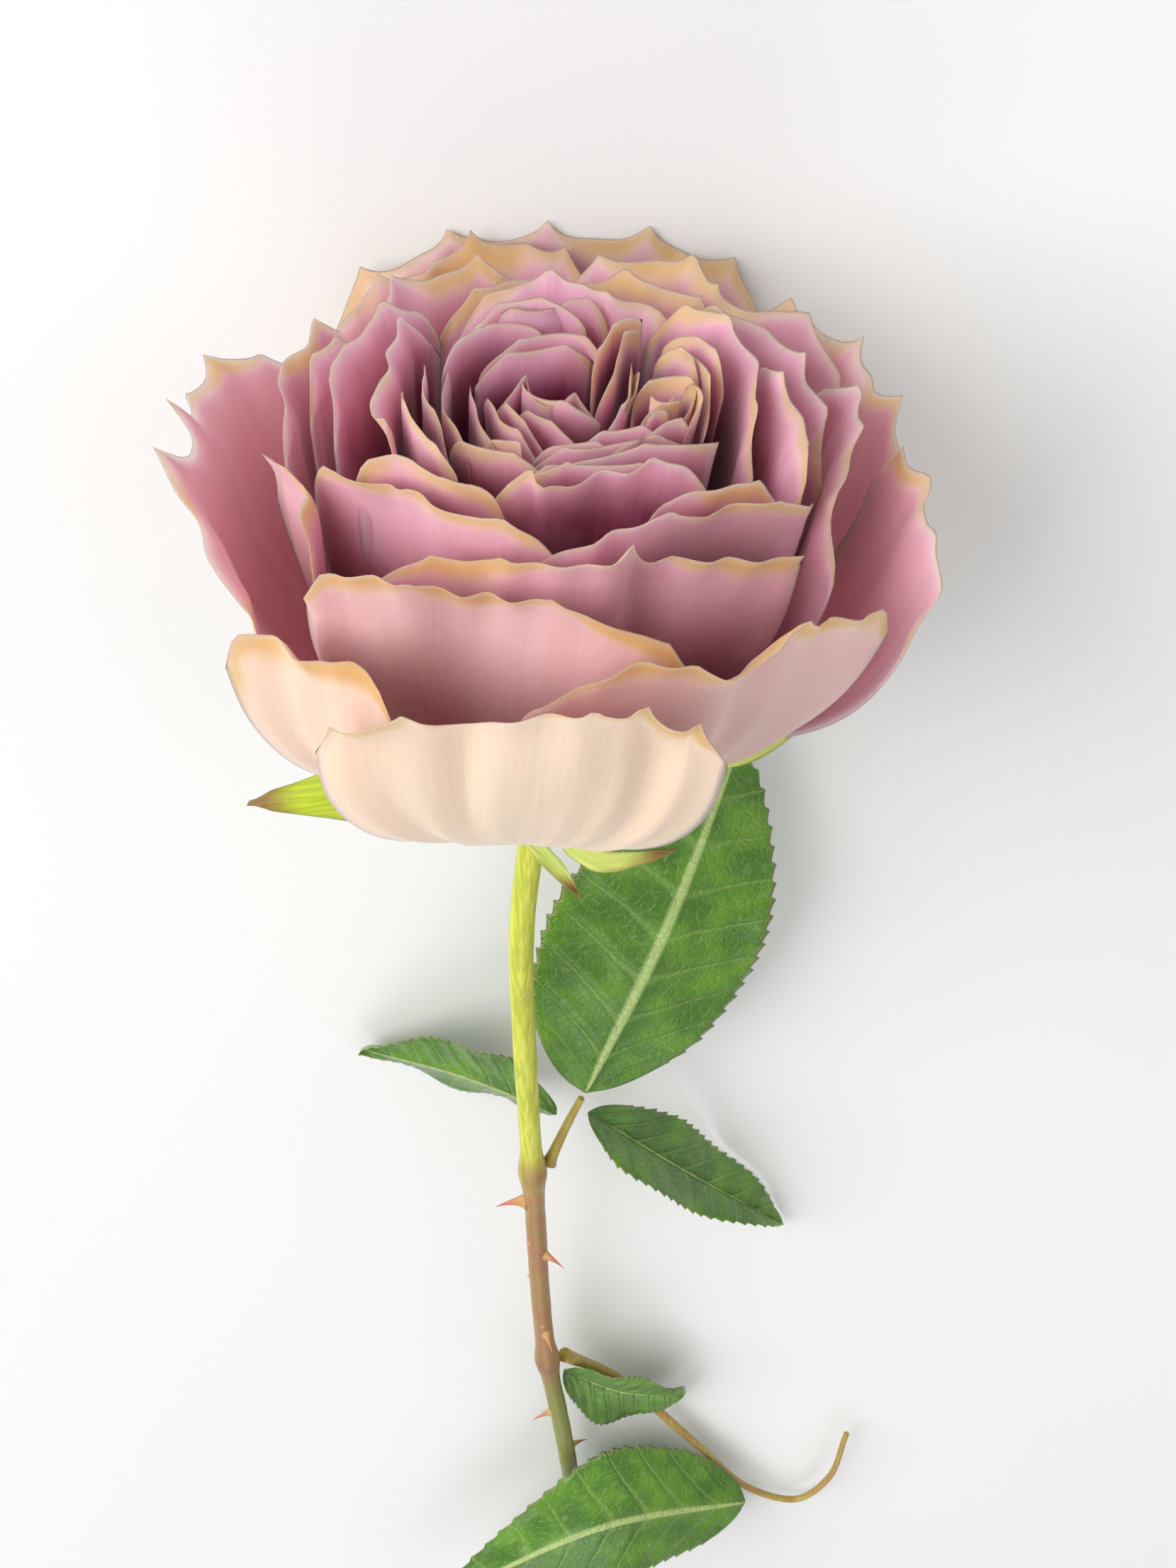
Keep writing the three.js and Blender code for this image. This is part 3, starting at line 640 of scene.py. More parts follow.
def bend(u, rim_mm, room, dice, width_mm, pinch, reach=4.2):
    """How far the sheet leans out of its plain cup, in mm: roll, ruffles, waves and folds."""
    curl = (0.5 + 0.36 * waves(u, dice, 3, (0.6, 2.2)) - 0.2 * pinch) * room
    roll = curl * np.exp(-(rim_mm / reach) ** 1.25)
    ruffle = 0.2 * room * waves(u, dice, 4, (width_mm / 14, width_mm / 6)) * np.exp(-rim_mm / 6)
    slow = 0.5 * room * waves(u, dice, 3, (0.5, 1.9)) * np.exp(-rim_mm / 20)
    fold = 0.3 * room * pinch * np.exp(-rim_mm / 13)
    return roll + ruffle + slow + fold


# %% A petal of the layers
def layer_surface(layer):
    start, end = layer["range"]
    foot = layer["foot"]
    soft, foot_width = SHAPE_OUTER if layer["name"].startswith("outer") else SHAPE_INNER
    width_mm = math.radians(end - start) * float(np.mean(layer["rims"]))
    u, v, tips, dice = petal_grid(layer["name"], layer["points"], width_mm, COLUMN_MM)
    opening = np.sin(np.minimum(v / 0.86, 1) * math.pi / 2)
    spread = foot_width + (1 - foot_width) * opening
    loose = 1 + 0.05 * np.where(u < 0.5, waves(v, dice, 3, (0.5, 2)), waves(v, dice, 3, (0.5, 2)))
    azimuth = (start + end) / 2 + (u - 0.5) * (end - start) * spread * loose
    radius = smooth_between(layer["rims"], layer["azimuths"], azimuth)
    room = np.clip(smooth_between(layer["room"], layer["azimuths"], azimuth), ROOM_LEAST, FREE_OUTSIDE)
    height = rim_height(radius, azimuth)
    tall, pinch = margin(u, tips, width_mm)
    tall += 0.35 * waves(u, dice, 3, (3, 9))
    sunk = np.zeros_like(u)
    for place, depth, half in CREASES.get(layer["name"], []):
        sunk += depth * np.exp(-((u - place) * width_mm / half) ** 2)
    tall -= 0.8 * sunk
    top = 1 + layer["rise"] + (tall - 0.4) / height
    top -= CORNER_DROP * np.abs(2 * u - 1) ** 6 + soft * np.abs(2 * u - 1) ** 3
    s = top * v ** 1.3
    below = (top - s) * height
    side = (0.5 - np.abs(u - 0.5)) * width_mm * spread
    rim_mm = np.minimum(below * 1.15, side * 1.5 + 0.6 * below)
    near = np.minimum(below * 1.15, side * 1.3)
    roll = bend(u, near, np.minimum(room, ROLL_MOST), dice, width_mm, pinch)
    seat = -SEAT_SLOPE * (foot - BASE_RADIUS)
    flare = flare_at(radius, azimuth)
    plain = foot + (radius - foot) * cup(s, flare)
    grown = plain + roll * smoothstep(v, 0.1, 0.6) + 0.9 * flare * np.maximum(tall, 0) * np.exp(-below / 6)
    grown -= sunk * smoothstep(v, 0.35, 0.95)
    z = seat + (height - seat) * s - 0.22 * roll * np.exp(-below / 5)
    angle = np.radians(azimuth)
    points = np.stack([grown * np.sin(angle) + lean(z), -grown * np.cos(angle), z], -1)
    return points, u, v, rim_mm, width_mm, float(np.mean(height)), dice


# %% A petal of the heart, from the plan of its rim
def arc_rim(cx, cy, start, end, ends):
    def rim(u):
        angle = np.radians(start + (end - start) * u)
        radius = through(ends, u)
        return cx + radius * np.sin(angle), cy - radius * np.cos(angle)
    return rim


def drawn_rim(drawn):
    xs, ys = np.array(drawn, float).T
    along = (len(drawn) - 1) * AZIMUTH_STEP
    return lambda u: (smooth_between(xs, [0], u * along), smooth_between(ys, [0], u * along))


def heart_surface(name, rim):
    steps = np.stack(rim(np.linspace(0, 1, 60)), -1)
    width_mm = float(np.linalg.norm(np.diff(steps, axis=0), axis=1).sum())
    u, v, tips, dice = petal_grid(name, [], width_mm, 0.8 * COLUMN_MM)
    flat_x, flat_y = rim(u)
    next_x, next_y = rim(np.minimum(u + 0.01, 1))
    last_x, last_y = rim(np.maximum(u - 0.01, 0))
    run = np.hypot(next_x - last_x, next_y - last_y)
    out = np.hypot(flat_x, flat_y) / HEART_RADIUS
    tall, pinch = margin(u, tips, width_mm)
    top = 1 - HEART_DIP / BLOOM_HEIGHT * (1 - out * out) - 0.06 * np.abs(2 * u - 1) ** 3
    top += 0.75 * (tall - 0.5) / BLOOM_HEIGHT
    s = top * v ** 1.3
    below = (top - s) * BLOOM_HEIGHT
    side = (0.5 - np.abs(u - 0.5)) * width_mm
    rim_mm = np.minimum(below, side * 1.5 + 0.6 * below)
    away = bend(u, below, 0.95, dice, width_mm, pinch, 3.0) - 0.15
    x = flat_x + away * ((next_y - last_y) / run) * smoothstep(v, 0.3, 0.8)
    y = flat_y + away * ((last_x - next_x) / run) * smoothstep(v, 0.3, 0.8)
    foot = BASE_RADIUS / HEART_RADIUS
    width = foot + (1 - foot) * cup(s, HEART_FLARE)
    z = BLOOM_HEIGHT * s
    points = np.stack([x * width + lean(z), y * width, z], -1)
    return points, u, v, rim_mm, width_mm, BLOOM_HEIGHT, dice


# %% Make every petal
def make_petal(name, surface, ring, node=None):
    points, u, v, rim_mm, width_mm, length_mm, dice = surface
    edge = np.minimum(np.minimum(u, 1 - u) * width_mm, (1 - v) * length_mm)
    body = smoothstep(edge, 0, 2.2) * (0.65 + 0.35 * smoothstep(v, 0, 0.4))
    attributes = {"rim_mm": rim_mm, "ring": ring, "tint": dice.random(), "body": body}
    uv = np.stack([u * width_mm, v * length_mm], -1)
    piece = sheet(name + "_fine", points, attributes, uv, "petal", PETAL_THICKNESS, petal_skin)
    return finish_piece(piece, node or name)


petals = [make_petal(name, heart_surface(name, arc_rim(*arc)), 0.0) for name, *arc in HEART]
for order, layer in enumerate(LAYER_PLAN):
    petals.append(make_petal(layer["name"], layer_surface(layer), (order + 1) / len(LAYER_PLAN)))
print("petal faces:", sum(len(petal.data.polygons) for petal in petals))

# %% [markdown]
# ## Small folds in the heart
# Between the petals of the heart a rose hides many narrow folds, which the part leaves out.
# They only show as rims in the gaps. Each is drawn as the plan of its rim, in millimetres, and
# goes down into the flower by the same rule as its neighbours, and it may cut into one of them
# below the rim. It belongs to the petal that it is named after.

# %% Folds
FOLDS = [
    ("heart_petal_01", [(-10, 0.7), (-7.5, 3.5), (-5.3, 6), (-4.5, 2.5), (-3.4, 0), (-2, -0.7), (-0.6, 0.2),
                        (1.3, 3.3), (3, 1.8), (5, 0.8)]),
    ("heart_petal_08", [(11, 17), (8.5, 13.5), (7.2, 9), (6.4, 5), (4.8, 0.8)]),
    ("heart_petal_08", [(9.7, 11.3), (9.3, 7.3), (8.7, 0.3), (7.3, -4), (5, -6)]),
    ("swirl_petal_1", [(9.6, -4.3), (12.7, -3), (14.7, 0.7)]),
    ("swirl_petal_1", [(10.2, -6.3), (12.2, -4.8), (13.8, -3.6)]),
    ("swirl_petal_2", [(15.7, -6.9), (17.4, -4), (17.6, -0.7), (15.6, 2.6)]),
    ("heart_petal_06", [(2.7, -14.3), (7.3, -12), (10.7, -9), (14, -6.6), (17, -5.6)]),
    ("heart_petal_06", [(-4.7, -11.6), (-1.3, -11), (2.3, -11.2), (7.3, -10.8)]),
    ("heart_petal_10", [(-11, -9.3), (-7.3, -11.3), (-5.3, -13.2)]),
    ("heart_petal_11", [(-16, 8), (-16.4, 2), (-16.2, -4), (-14.8, -9), (-12, -13)]),
    ("heart_petal_15", [(18.4, 1.8), (16.9, 5.5), (15.1, 8.5), (12.3, 10.7)]),
    ("heart_petal_15", [(21.6, 1.5), (20.3, 6), (17.5, 10.5), (13.5, 14)]),
    ("heart_petal_11", [(-22.1, 2), (-21.5, -4), (-20.3, -9.3), (-17.6, -14), (-14, -17.6)]),
    ("heart_petal_12", [(-12, 8.5), (-8.4, 10.6), (-4, 13.4), (1, 14), (5.2, 13.2)][::-1]),
    ("heart_petal_13", [(-13.4, 15), (-9, 18.6), (-3, 19.6), (3, 18.4)][::-1]),
    ("heart_petal_09", [(-8, -17.6), (-2, -18), (4, -17.8), (10, -17), (15.6, -14.6)]),
]
folds = []
for count, (node, drawn) in enumerate(FOLDS):
    name = f"{node}_fold_{count + 1}"
    folds.append(make_petal(name, heart_surface(name, drawn_rim(drawn)), 0.0, node))
print("folds:", len(folds), "faces:", sum(len(fold.data.polygons) for fold in folds))

# %% [markdown]
# ## Green skins
# The leaf of a rose is leathery and glossy: dark green with a pale midrib, side veins that run
# forward to the teeth, and a net of fine veins between them that puffs the surface up. The
# pattern follows the leaf, so it is drawn in the leaf's own coordinates: `across`, from the
# midrib to the margin, and `along`, from the stalk to the tip.

# %% Leaf material
VEIN_PAIRS = 8


def paint_leaf(tree):
    across, along, outer, turned = tree.attributes("across", "along", "outer", "turned")
    upper = outer + turned - 2 * outer * turned
    place = tree.place()
    mottle = tree.noise(place, 120.0)
    wander = tree.noise(place, 60.0) * 0.05
    ripple = ((along - across * 0.2 * (1.15 - along) + wander) * VEIN_PAIRS).math("PINGPONG", 0.5)
    side_vein = (ripple * (0.3 + across * 1.6) ** 0.7).between(0.1, 0.015)
    midrib = across.between(0.07, 0.02)
    cells = {"Vector": tree.uv("blade"), "Scale": 0.62}
    net = tree.add("ShaderNodeTexVoronoi", {"feature": "DISTANCE_TO_EDGE"}, cells, out="Distance")
    net_vein = net.between(0.13, 0.02)
    top = tree.coats(
        (60, 108, 4), (mottle.between(0.35, 0.7), (92, 142, 10)), (net_vein * 0.25, (112, 150, 62)),
        (side_vein * 0.4, (126, 162, 70)), (midrib * 0.85, (176, 196, 120)),
        (across.between(0.93, 1.0) * 0.6, (120, 96, 44)))
    under = tree.coats(
        (120, 148, 92), (mottle, (146, 168, 116)), (side_vein * 0.7 + midrib * 0.3, (168, 186, 132)))
    relief = 1 - side_vein * 0.8 - net_vein * 0.35 - midrib
    roughness = 0.26 + 0.16 * mottle + (1 - upper) * 0.25
    return painted(tree, tree.mix(upper, under, top), roughness, relief, 0.0005, 0.8)


leaf_skin = material("leaf_skin", paint_leaf, Coat_Weight=0.25, Coat_Roughness=0.2, Subsurface_Weight=0.08,
                     Subsurface_Scale=0.0015, Subsurface_Radius=(0.6, 1.0, 0.2))


# %% Sepal, hip and stem materials
def paint_sepal(tree):
    along, across, outer = tree.attributes("along", "across", "outer")
    fibres = tree.noise(tree.stretch(tree.uv("blade"), 1.6, 0.08, 1.0), 1.0)
    mottle = tree.noise(tree.place(), 180.0)
    base = tree.coats(
        (160, 182, 16), (fibres.between(0.35, 0.65), (192, 206, 34)), ((1 - outer) * 0.5, (206, 214, 140)),
        (across.between(0.7, 1.0) * mottle * 0.8, (126, 118, 40)),
        ((along + mottle * 0.12).between(0.82, 1.0) * 0.9, (128, 84, 44)))
    return painted(tree, base, 0.45 + 0.25 * mottle, fibres, 0.0003, 0.6)


def paint_hip(tree):
    mottle = tree.noise(tree.place(), 140.0)
    fine = tree.noise(tree.place(), 900.0)
    base = tree.coats(
        (128, 150, 44), (mottle.between(0.35, 0.65), (164, 176, 60)),
        (fine.between(0.62, 0.75) * 0.5, (190, 196, 120)))
    return painted(tree, base, 0.4 + 0.2 * mottle, mottle + fine * 0.4, 0.0003, 0.5)


def paint_bark(tree):
    age, sunny, node = tree.attributes("along", "sunny", "node")
    place = tree.place()
    fibres = tree.noise(tree.stretch(place, 1.0, 0.05, 1.0), 1400.0)
    mottle = tree.noise(place, 160.0)
    lenticels = tree.noise(tree.stretch(place, 1.0, 0.35, 1.0), 620.0)
    old = tree.coats(
        (150, 122, 62), (mottle.between(0.3, 0.7), (160, 106, 74)), (sunny * 0.75, (162, 86, 62)))
    base = tree.coats(
        (172, 180, 38), (fibres.between(0.35, 0.65), (206, 206, 70)),
        ((age + mottle * 0.05).between(0.36, 0.47), old),
        ((age + mottle * 0.08).between(0.64, 0.8) * 0.8, (112, 132, 46)),
        (node * mottle * 0.9, (140, 84, 60)), (lenticels.between(0.66, 0.72) * 0.5, (206, 190, 140)))
    relief = fibres * 0.6 + lenticels.between(0.6, 0.72) * 0.5
    return painted(tree, base, 0.36 + 0.2 * mottle, relief, 0.00025, 0.6)


def paint_prickle(tree):
    tip, = tree.attributes("tip")
    mottle = tree.noise(tree.place(), 500.0)
    base = tree.coats(
        (190, 150, 84), (tip.between(0.05, 0.75), (196, 92, 84)), (tip.between(0.8, 1.0), (110, 58, 44)),
        (mottle.between(0.55, 0.75) * 0.4, (226, 186, 150)))
    return painted(tree, base, 0.3 + 0.2 * mottle, mottle, 0.0002, 0.5)


sepal_skin = material("sepal_skin", paint_sepal, Subsurface_Weight=0.15, Subsurface_Scale=0.0015,
                      Subsurface_Radius=(0.8, 1.0, 0.2))
hip_skin = material("hip_skin", paint_hip, Subsurface_Weight=0.1, Subsurface_Scale=0.002,
                    Subsurface_Radius=(0.8, 1.0, 0.2), Coat_Weight=0.12, Coat_Roughness=0.3)
bark = material("bark", paint_bark, Coat_Weight=0.2, Coat_Roughness=0.25, Subsurface_Weight=0.08,
                Subsurface_Scale=0.0015, Subsurface_Radius=(0.8, 1.0, 0.2))
prickle_skin = material("prickle_skin", paint_prickle, Coat_Weight=0.15, Coat_Roughness=0.25)
print("materials:", [m.name for m in (petal_skin, leaf_skin, sepal_skin, hip_skin, bark, prickle_skin)])

# %% [markdown]
# ## Curves that both programs agree on
# The stem and the blades hang on smooth curves through a few points. The frame draws them as
# centripetal Catmull-Rom curves, which pass through their points without overshooting, so the
# same curve is worked out here. It gives the point at a share of the curve, and an even walk
# along it finds the leaf nodes on the stem.


# %% Centripetal Catmull-Rom
class Path:
    def __init__(self, points):
        p = np.asarray(points, float)
        self.points = np.vstack([2 * p[0] - p[1], p, 2 * p[-1] - p[-2]])
        self.spans = len(p) - 1

    def at(self, t):
        place = np.clip(np.atleast_1d(t), 0, 1) * self.spans
        k = np.minimum(place.astype(int), self.spans - 1)
        w = (place - k)[:, None]
        p0, p1, p2, p3 = (self.points[k + i] for i in range(4))
        gap = lambda a, b: np.maximum(np.linalg.norm(b - a, axis=1, keepdims=True) ** 0.5, 1e-4)
        d0, d1, d2 = gap(p0, p1), gap(p1, p2), gap(p2, p3)
        m1 = ((p1 - p0) / d0 - (p2 - p0) / (d0 + d1) + (p2 - p1) / d1) * d1
        m2 = ((p2 - p1) / d1 - (p3 - p1) / (d1 + d2) + (p3 - p2) / d2) * d1
        return p1 + w * (m1 + w * (-3 * p1 + 3 * p2 - 2 * m1 - m2 + w * (2 * p1 - 2 * p2 + m1 + m2)))

    def even(self, share):
        """The point at a share of the length."""
        t = np.linspace(0, 1, 401)
        walked = np.concatenate([[0], np.cumsum(np.linalg.norm(np.diff(self.at(t), axis=0), axis=1))])
        return self.at(np.interp(np.atleast_1d(share) * walked[-1], walked, t))

    def tangent(self, t):
        step = 1e-4
        t = np.atleast_1d(t)
        ahead = self.at(np.minimum(t + step, 1)) - self.at(np.maximum(t - step, 0))
        return ahead / np.linalg.norm(ahead, axis=1, keepdims=True)


print("a straight path's middle:", Path([(0, 0, 0), (2, 0, 0)]).at(0.5)[0])

# %% [markdown]
# ## The stem and where things join it
# The stem swells at each leaf node and thins slowly towards the cut. It is a tube along a path,
# which is what Curve to Mesh is for: a tree turns the path into a curve, gives it the radius
# stored on its points, and sweeps a circle along it. Thin stalks use the same tree.

# %% The stem's numbers
HIP_HEIGHT = 15.0
SEAT_GAP = 0.4
JOINT_GAP = 0.8
STEM_LENGTH = 256.0
STEM_RADIUS_TOP = 2.25
STEM_RADIUS_END = 1.9
UPPER_NODE = 0.39
LOWER_NODE = 0.664
NODE_SWELL = 0.75
NODE_SPAN = 0.018
STALK_RADIUS = 0.9
STEM_BENDS = (-6, -8.8, -9, -8.5, -7.9, -7.4, -6.2, -3.4, -1.2, -0.4)


def shoulder(radius):
    return -SEAT_GAP - SEAT_SLOPE * max(radius - BASE_RADIUS, 0)


STEM_TOP = shoulder(SEAT_RADIUS) - HIP_HEIGHT - JOINT_GAP
SPANS = len(STEM_BENDS) - 1
STEM_PATH = Path([(x, 0, STEM_TOP - STEM_LENGTH * k / SPANS) for k, x in enumerate(STEM_BENDS)])


def swell(share, node):
    return NODE_SWELL * np.exp(-(((share - node) / NODE_SPAN) ** 2))


def stem_radius(share):
    taper = STEM_RADIUS_TOP + (STEM_RADIUS_END - STEM_RADIUS_TOP) * share
    return taper + swell(share, UPPER_NODE) + swell(share, LOWER_NODE) + 0.6 * swell(share, 0)


print("stem from z", round(STEM_TOP, 1), "with radius", round(float(stem_radius(UPPER_NODE)), 2), "at a node")


# %% The tube tree
def tube_group():
    inputs = [("Sides", "NodeSocketInt"), ("Material", "NodeSocketMaterial")]
    group, tree, given = new_group("tube_on_path", inputs)
    curve = tree.add("GeometryNodeMeshToCurve", {}, {"Mesh": given["Geometry"]})
    round_one = {"Resolution": given["Sides"], "Radius": 1.0}
    ring = tree.add("GeometryNodeCurvePrimitiveCircle", {"mode": "RADIUS"}, round_one)
    sweep = {"Curve": curve, "Profile Curve": ring, "Scale": tree.named("thick"), "Fill Caps": True}
    tube = tree.add("GeometryNodeCurveToMesh", {}, sweep)
    return close_group(group, tree, tube, given["Material"])


TUBE = tube_group()


def tube(name, points, thick, attributes, sides):
    edges = [(i, i + 1) for i in range(len(points) - 1)]
    attributes = {"thick": np.asarray(thick) * MM, **attributes}
    piece = new_piece(name, new_mesh(name, on_table(points), edges, (), attributes))
    return apply_group(piece, TUBE, {"Sides": sides, "Material": bark})


# %% Sweep the stem
STEM_STEPS = 420
LUMPS = 60


def sweep_stem():
    share = np.linspace(0, 1, STEM_STEPS + 1)
    dice = np.random.default_rng(7)
    lumps = np.interp(share, np.linspace(0, 1, LUMPS), dice.normal(0, 0.035, LUMPS))
    near = np.maximum(swell(share, UPPER_NODE), swell(share, LOWER_NODE)) / NODE_SWELL
    attributes = {"along": share, "node": near, "sunny": 0.5 + 0.5 * np.sin(share * 9)}
    return tube("stem_fine", STEM_PATH.even(share), stem_radius(share) + lumps, attributes, 28)


stem = finish_piece(sweep_stem(), "stem")
print("stem faces:", len(stem.data.polygons))

# %% [markdown]
# ## Prickles
# A rose has prickles, not thorns: flat hooks of skin on a long oval foot that point down the
# stem. One hook is modelled once. A tree then puts a copy on every marked point of a small mesh,
# turned by the direction stored there and scaled by its length.


# %% One hook
def ring_faces(rings, sides):
    """Quads between rings of points, and a cap on each end."""
    faces = []
    for first in range(0, (rings - 1) * sides, sides):
        for j in range(sides):
            a, b = first + j, first + (j + 1) % sides
            faces.append((a, b, b + sides, a + sides))
    return faces + [tuple(reversed(range(sides))), tuple(range((rings - 1) * sides, rings * sides))]


def hook_object():
    sides, steps = 12, 12
    angles = np.arange(sides) * 2 * math.pi / sides
    rings = []
    for k in range(steps + 1):
        h = k / steps
        thin = (1 - h) ** 1.15 + 0.02
        wide = 0.13 * thin + 0.09 * math.exp(-h * 9)
        tall = 0.24 * thin + 0.2 * math.exp(-h * 7)
        rings.append([wide * np.cos(angles), tall * np.sin(angles) - 0.32 * h ** 2, np.full(sides, h)])
    points = np.moveaxis(np.array(rings), 1, -1)
    mesh = new_mesh("hook", points, (), ring_faces(steps + 1, sides), {"tip": points[..., 2]})
    return bpy.data.objects.new("hook", mesh)


def scatter_group():
    inputs = [("Copy", "NodeSocketObject"), ("Material", "NodeSocketMaterial")]
    group, tree, given = new_group("copies_on_points", inputs)
    aim, up, size = (tree.named(name, "FLOAT_VECTOR") for name in ("aim", "up", "size"))
    copy = tree.add("GeometryNodeObjectInfo", {}, {"Object": given["Copy"]}, out="Geometry")
    points = tree.add("GeometryNodeMeshToPoints", {}, {"Mesh": given["Geometry"]})
    stand = tree.add("FunctionNodeAlignRotationToVector", {"axis": "Z"}, {"Vector": aim})
    settings = {"axis": "Y", "pivot_axis": "Z"}
    turn = tree.add("FunctionNodeAlignRotationToVector", settings, {"Rotation": stand, "Vector": up})
    copies = {"Points": points, "Instance": copy, "Rotation": turn, "Scale": size}
    placed = tree.add("GeometryNodeInstanceOnPoints", {}, copies)
    return close_group(group, tree, placed, given["Material"])


# %% Set the prickles
# share of the stem, direction round it in degrees, length in mm
PRICKLES = [(0.43, -90, 6.5), (0.5, 60, 5), (0.56, -150, 4.5),
            (0.615, 20, 5), (0.75, -70, 5), (0.82, 120, 4.5)]


def turned(directions):
    """Directions of the bloom's frame as directions over the table."""
    return (on_table(directions) - on_table(np.zeros(3))) / MM


def set_prickles():
    share, degrees, length = np.array(PRICKLES).T
    angle = np.radians(degrees)
    out = np.stack([np.sin(angle), -np.cos(angle), np.zeros(len(angle))], -1)
    roots = STEM_PATH.even(share) + out * (stem_radius(share) * 0.8)[:, None]
    up = np.tile([0, 0, 1.0], (len(share), 1))
    size = np.stack([length, length, length * 0.95], -1) * MM
    mesh = new_mesh("prickles", on_table(roots))
    for key, values in {"aim": turned(out), "up": turned(up), "size": size}.items():
        spread = values.astype(np.float32).ravel()
        mesh.attributes.new(key, "FLOAT_VECTOR", "POINT").data.foreach_set("vector", spread)
    given = {"Copy": hook_object(), "Material": prickle_skin}
    return apply_group(new_piece("prickles", mesh), scatter_group(), given)


prickles = finish_piece(set_prickles(), "stem")
print("prickle faces:", len(prickles.data.polygons))

# %% [markdown]
# ## Blades: leaves and sepals
# A leaflet is a blade along a curved midrib, folded up a little on both sides of it. Its width
# comes from an outline, its margin from a saw of small teeth that point to the tip, and its
# surface from the veins: the midrib and side veins are sunken grooves, and the fields between
# them puff up. The sheet tree gives the blade its two faces.


# %% Blade surface
BLADE_TIP = 0.7
LEAF_FOLD = 0.16
LEAF_THICKNESS = 0.55
LEAF_TEETH = 23
TOOTH = 1.0


def blade_grid(rows, columns):
    """Places v along a blade, and both as grids: V along it and S from side to side."""
    v = np.linspace(0, 1, rows + 1)
    return v, *np.meshgrid(v, np.linspace(-1, 1, columns + 1), indexing="ij")


def blade_points(path, side, half, share, lift_mm, fold, v):
    across = np.asarray(side, float) / np.linalg.norm(side)
    tangent = path.tangent(v)
    lift = np.cross(tangent, across)
    lift /= np.linalg.norm(lift, axis=1, keepdims=True)
    spine = path.at(v)
    width = (half * share)[..., None]
    height = (fold * half * np.abs(share) + lift_mm)[..., None]
    return spine[:, None, :] + across * width + lift[:, None, :] * height


def leaflet_half(v, width):
    return BLADE_TIP * (1 - v) + (0.5 * width - BLADE_TIP) * np.sin(math.pi * v ** 0.82) ** 0.68


def make_leaflet(name, spine, side, width, turned_over):
    dice = random.Random(name)
    v, V, S = blade_grid(220, 44)
    out = np.abs(S)
    saw = (V * LEAF_TEETH + 0.15 * np.sign(S)) % 1.0
    bite = saw ** 1.6 * smoothstep(V, 0.06, 0.2) * (1 - smoothstep(V, 0.93, 1))
    half = leaflet_half(v, width)[:, None]
    half_toothed = half + TOOTH * (bite - 0.35) * smoothstep(out, 0.72, 1)
    puff = np.abs(np.sin(math.pi * ((V - out * 0.2 * (1.15 - V)) * VEIN_PAIRS))) ** 0.7
    field = smoothstep(out, 0.0, 0.25) * (1 - smoothstep(out, 0.8, 1.0))
    field = field * smoothstep(V, 0, 0.1) * smoothstep(1 - V, 0, 0.12)
    wave = 0.9 * np.sin(2 * math.pi * (V * dice.uniform(1.6, 2.3) + dice.random()) + 0.8 * S) * out ** 2.2
    rib = -0.45 * np.exp(-(S * half / 0.9) ** 2)
    lift = 0.42 * (puff - 0.5) * field + wave * smoothstep(V, 0.05, 0.3) + rib
    lift -= 0.9 * out ** 3 * smoothstep(V, 0.3, 0.9)
    points = blade_points(Path(spine), side, half_toothed, S, lift, LEAF_FOLD, v)
    edge = np.minimum((1 - out) * half, np.minimum(V, 1 - V) * 60)
    attributes = {"across": out, "along": V, "body": smoothstep(edge, 0, 1.2), "turned": turned_over}
    length_mm = float(np.linalg.norm(np.subtract(spine[-1], spine[0])))
    uv = np.stack([S * half, V * length_mm], -1)
    piece = sheet(name + "_fine", points, attributes, uv, "blade", LEAF_THICKNESS, leaf_skin)
    return finish_piece(piece, name)


# %% The two compound leaves
TERMINAL_WIDTH = 41.0
SIDE_WIDTH = 26.0

# leaf, its node on the stem, the path of its stalk, and for each leaflet the path of its midrib,
# the direction of its width, the width, and whether its upper face is on the back of the grid
LEAVES = [
    ("upper_leaf", UPPER_NODE, [(0.3, 1.6, 0.5), (3.7, 4, 9), (6.7, 5.2, 16.6)], [
        ("terminal", [(7.4, 5.6, 18.2), (21.8, 13, 56), (34.3, 27, 90)], (0.94, 0, -0.35),
         TERMINAL_WIDTH, 0),
        ("left", [(2, 7, 9.5), (-15.6, 15, 10.5), (-37.2, 24, 8.7)], (0, -0.3, 1), SIDE_WIDTH, 0),
        ("right", [(8.3, 6, 11), (28.2, 11, -16), (50.4, 16, -42.6)], (0.35, 0.75, -0.2),
         0.85 * SIDE_WIDTH, 1),
    ]),
    ("lower_leaf", LOWER_NODE, [(0.9, 1.7, -1.5), (13.2, 7.4, -22), (31.2, 3.4, -44), (44.2, 1.6, -62),
                                (56.2, 1.6, -68), (63.2, 1.8, -58), (66.2, 3.6, -40)], [
        ("left", [(0.8, 2, -9), (14.2, 3, -20), (28.4, 4.5, -24)], (0.2, -0.2, 1), 1.2 * SIDE_WIDTH, 1),
        ("right", [(7.2, 2.6, -50), (18.2, 3, -60), (33.2, 2, -73)], (0.1, -0.1, 1), 0.8 * SIDE_WIDTH, 1),
        ("front", [(43.2, -2.6, -60.5), (10.2, -14, -50), (-29.2, -17, -81)], (0, 0.45, 1),
         0.9 * TERMINAL_WIDTH, 0),
    ]),
]


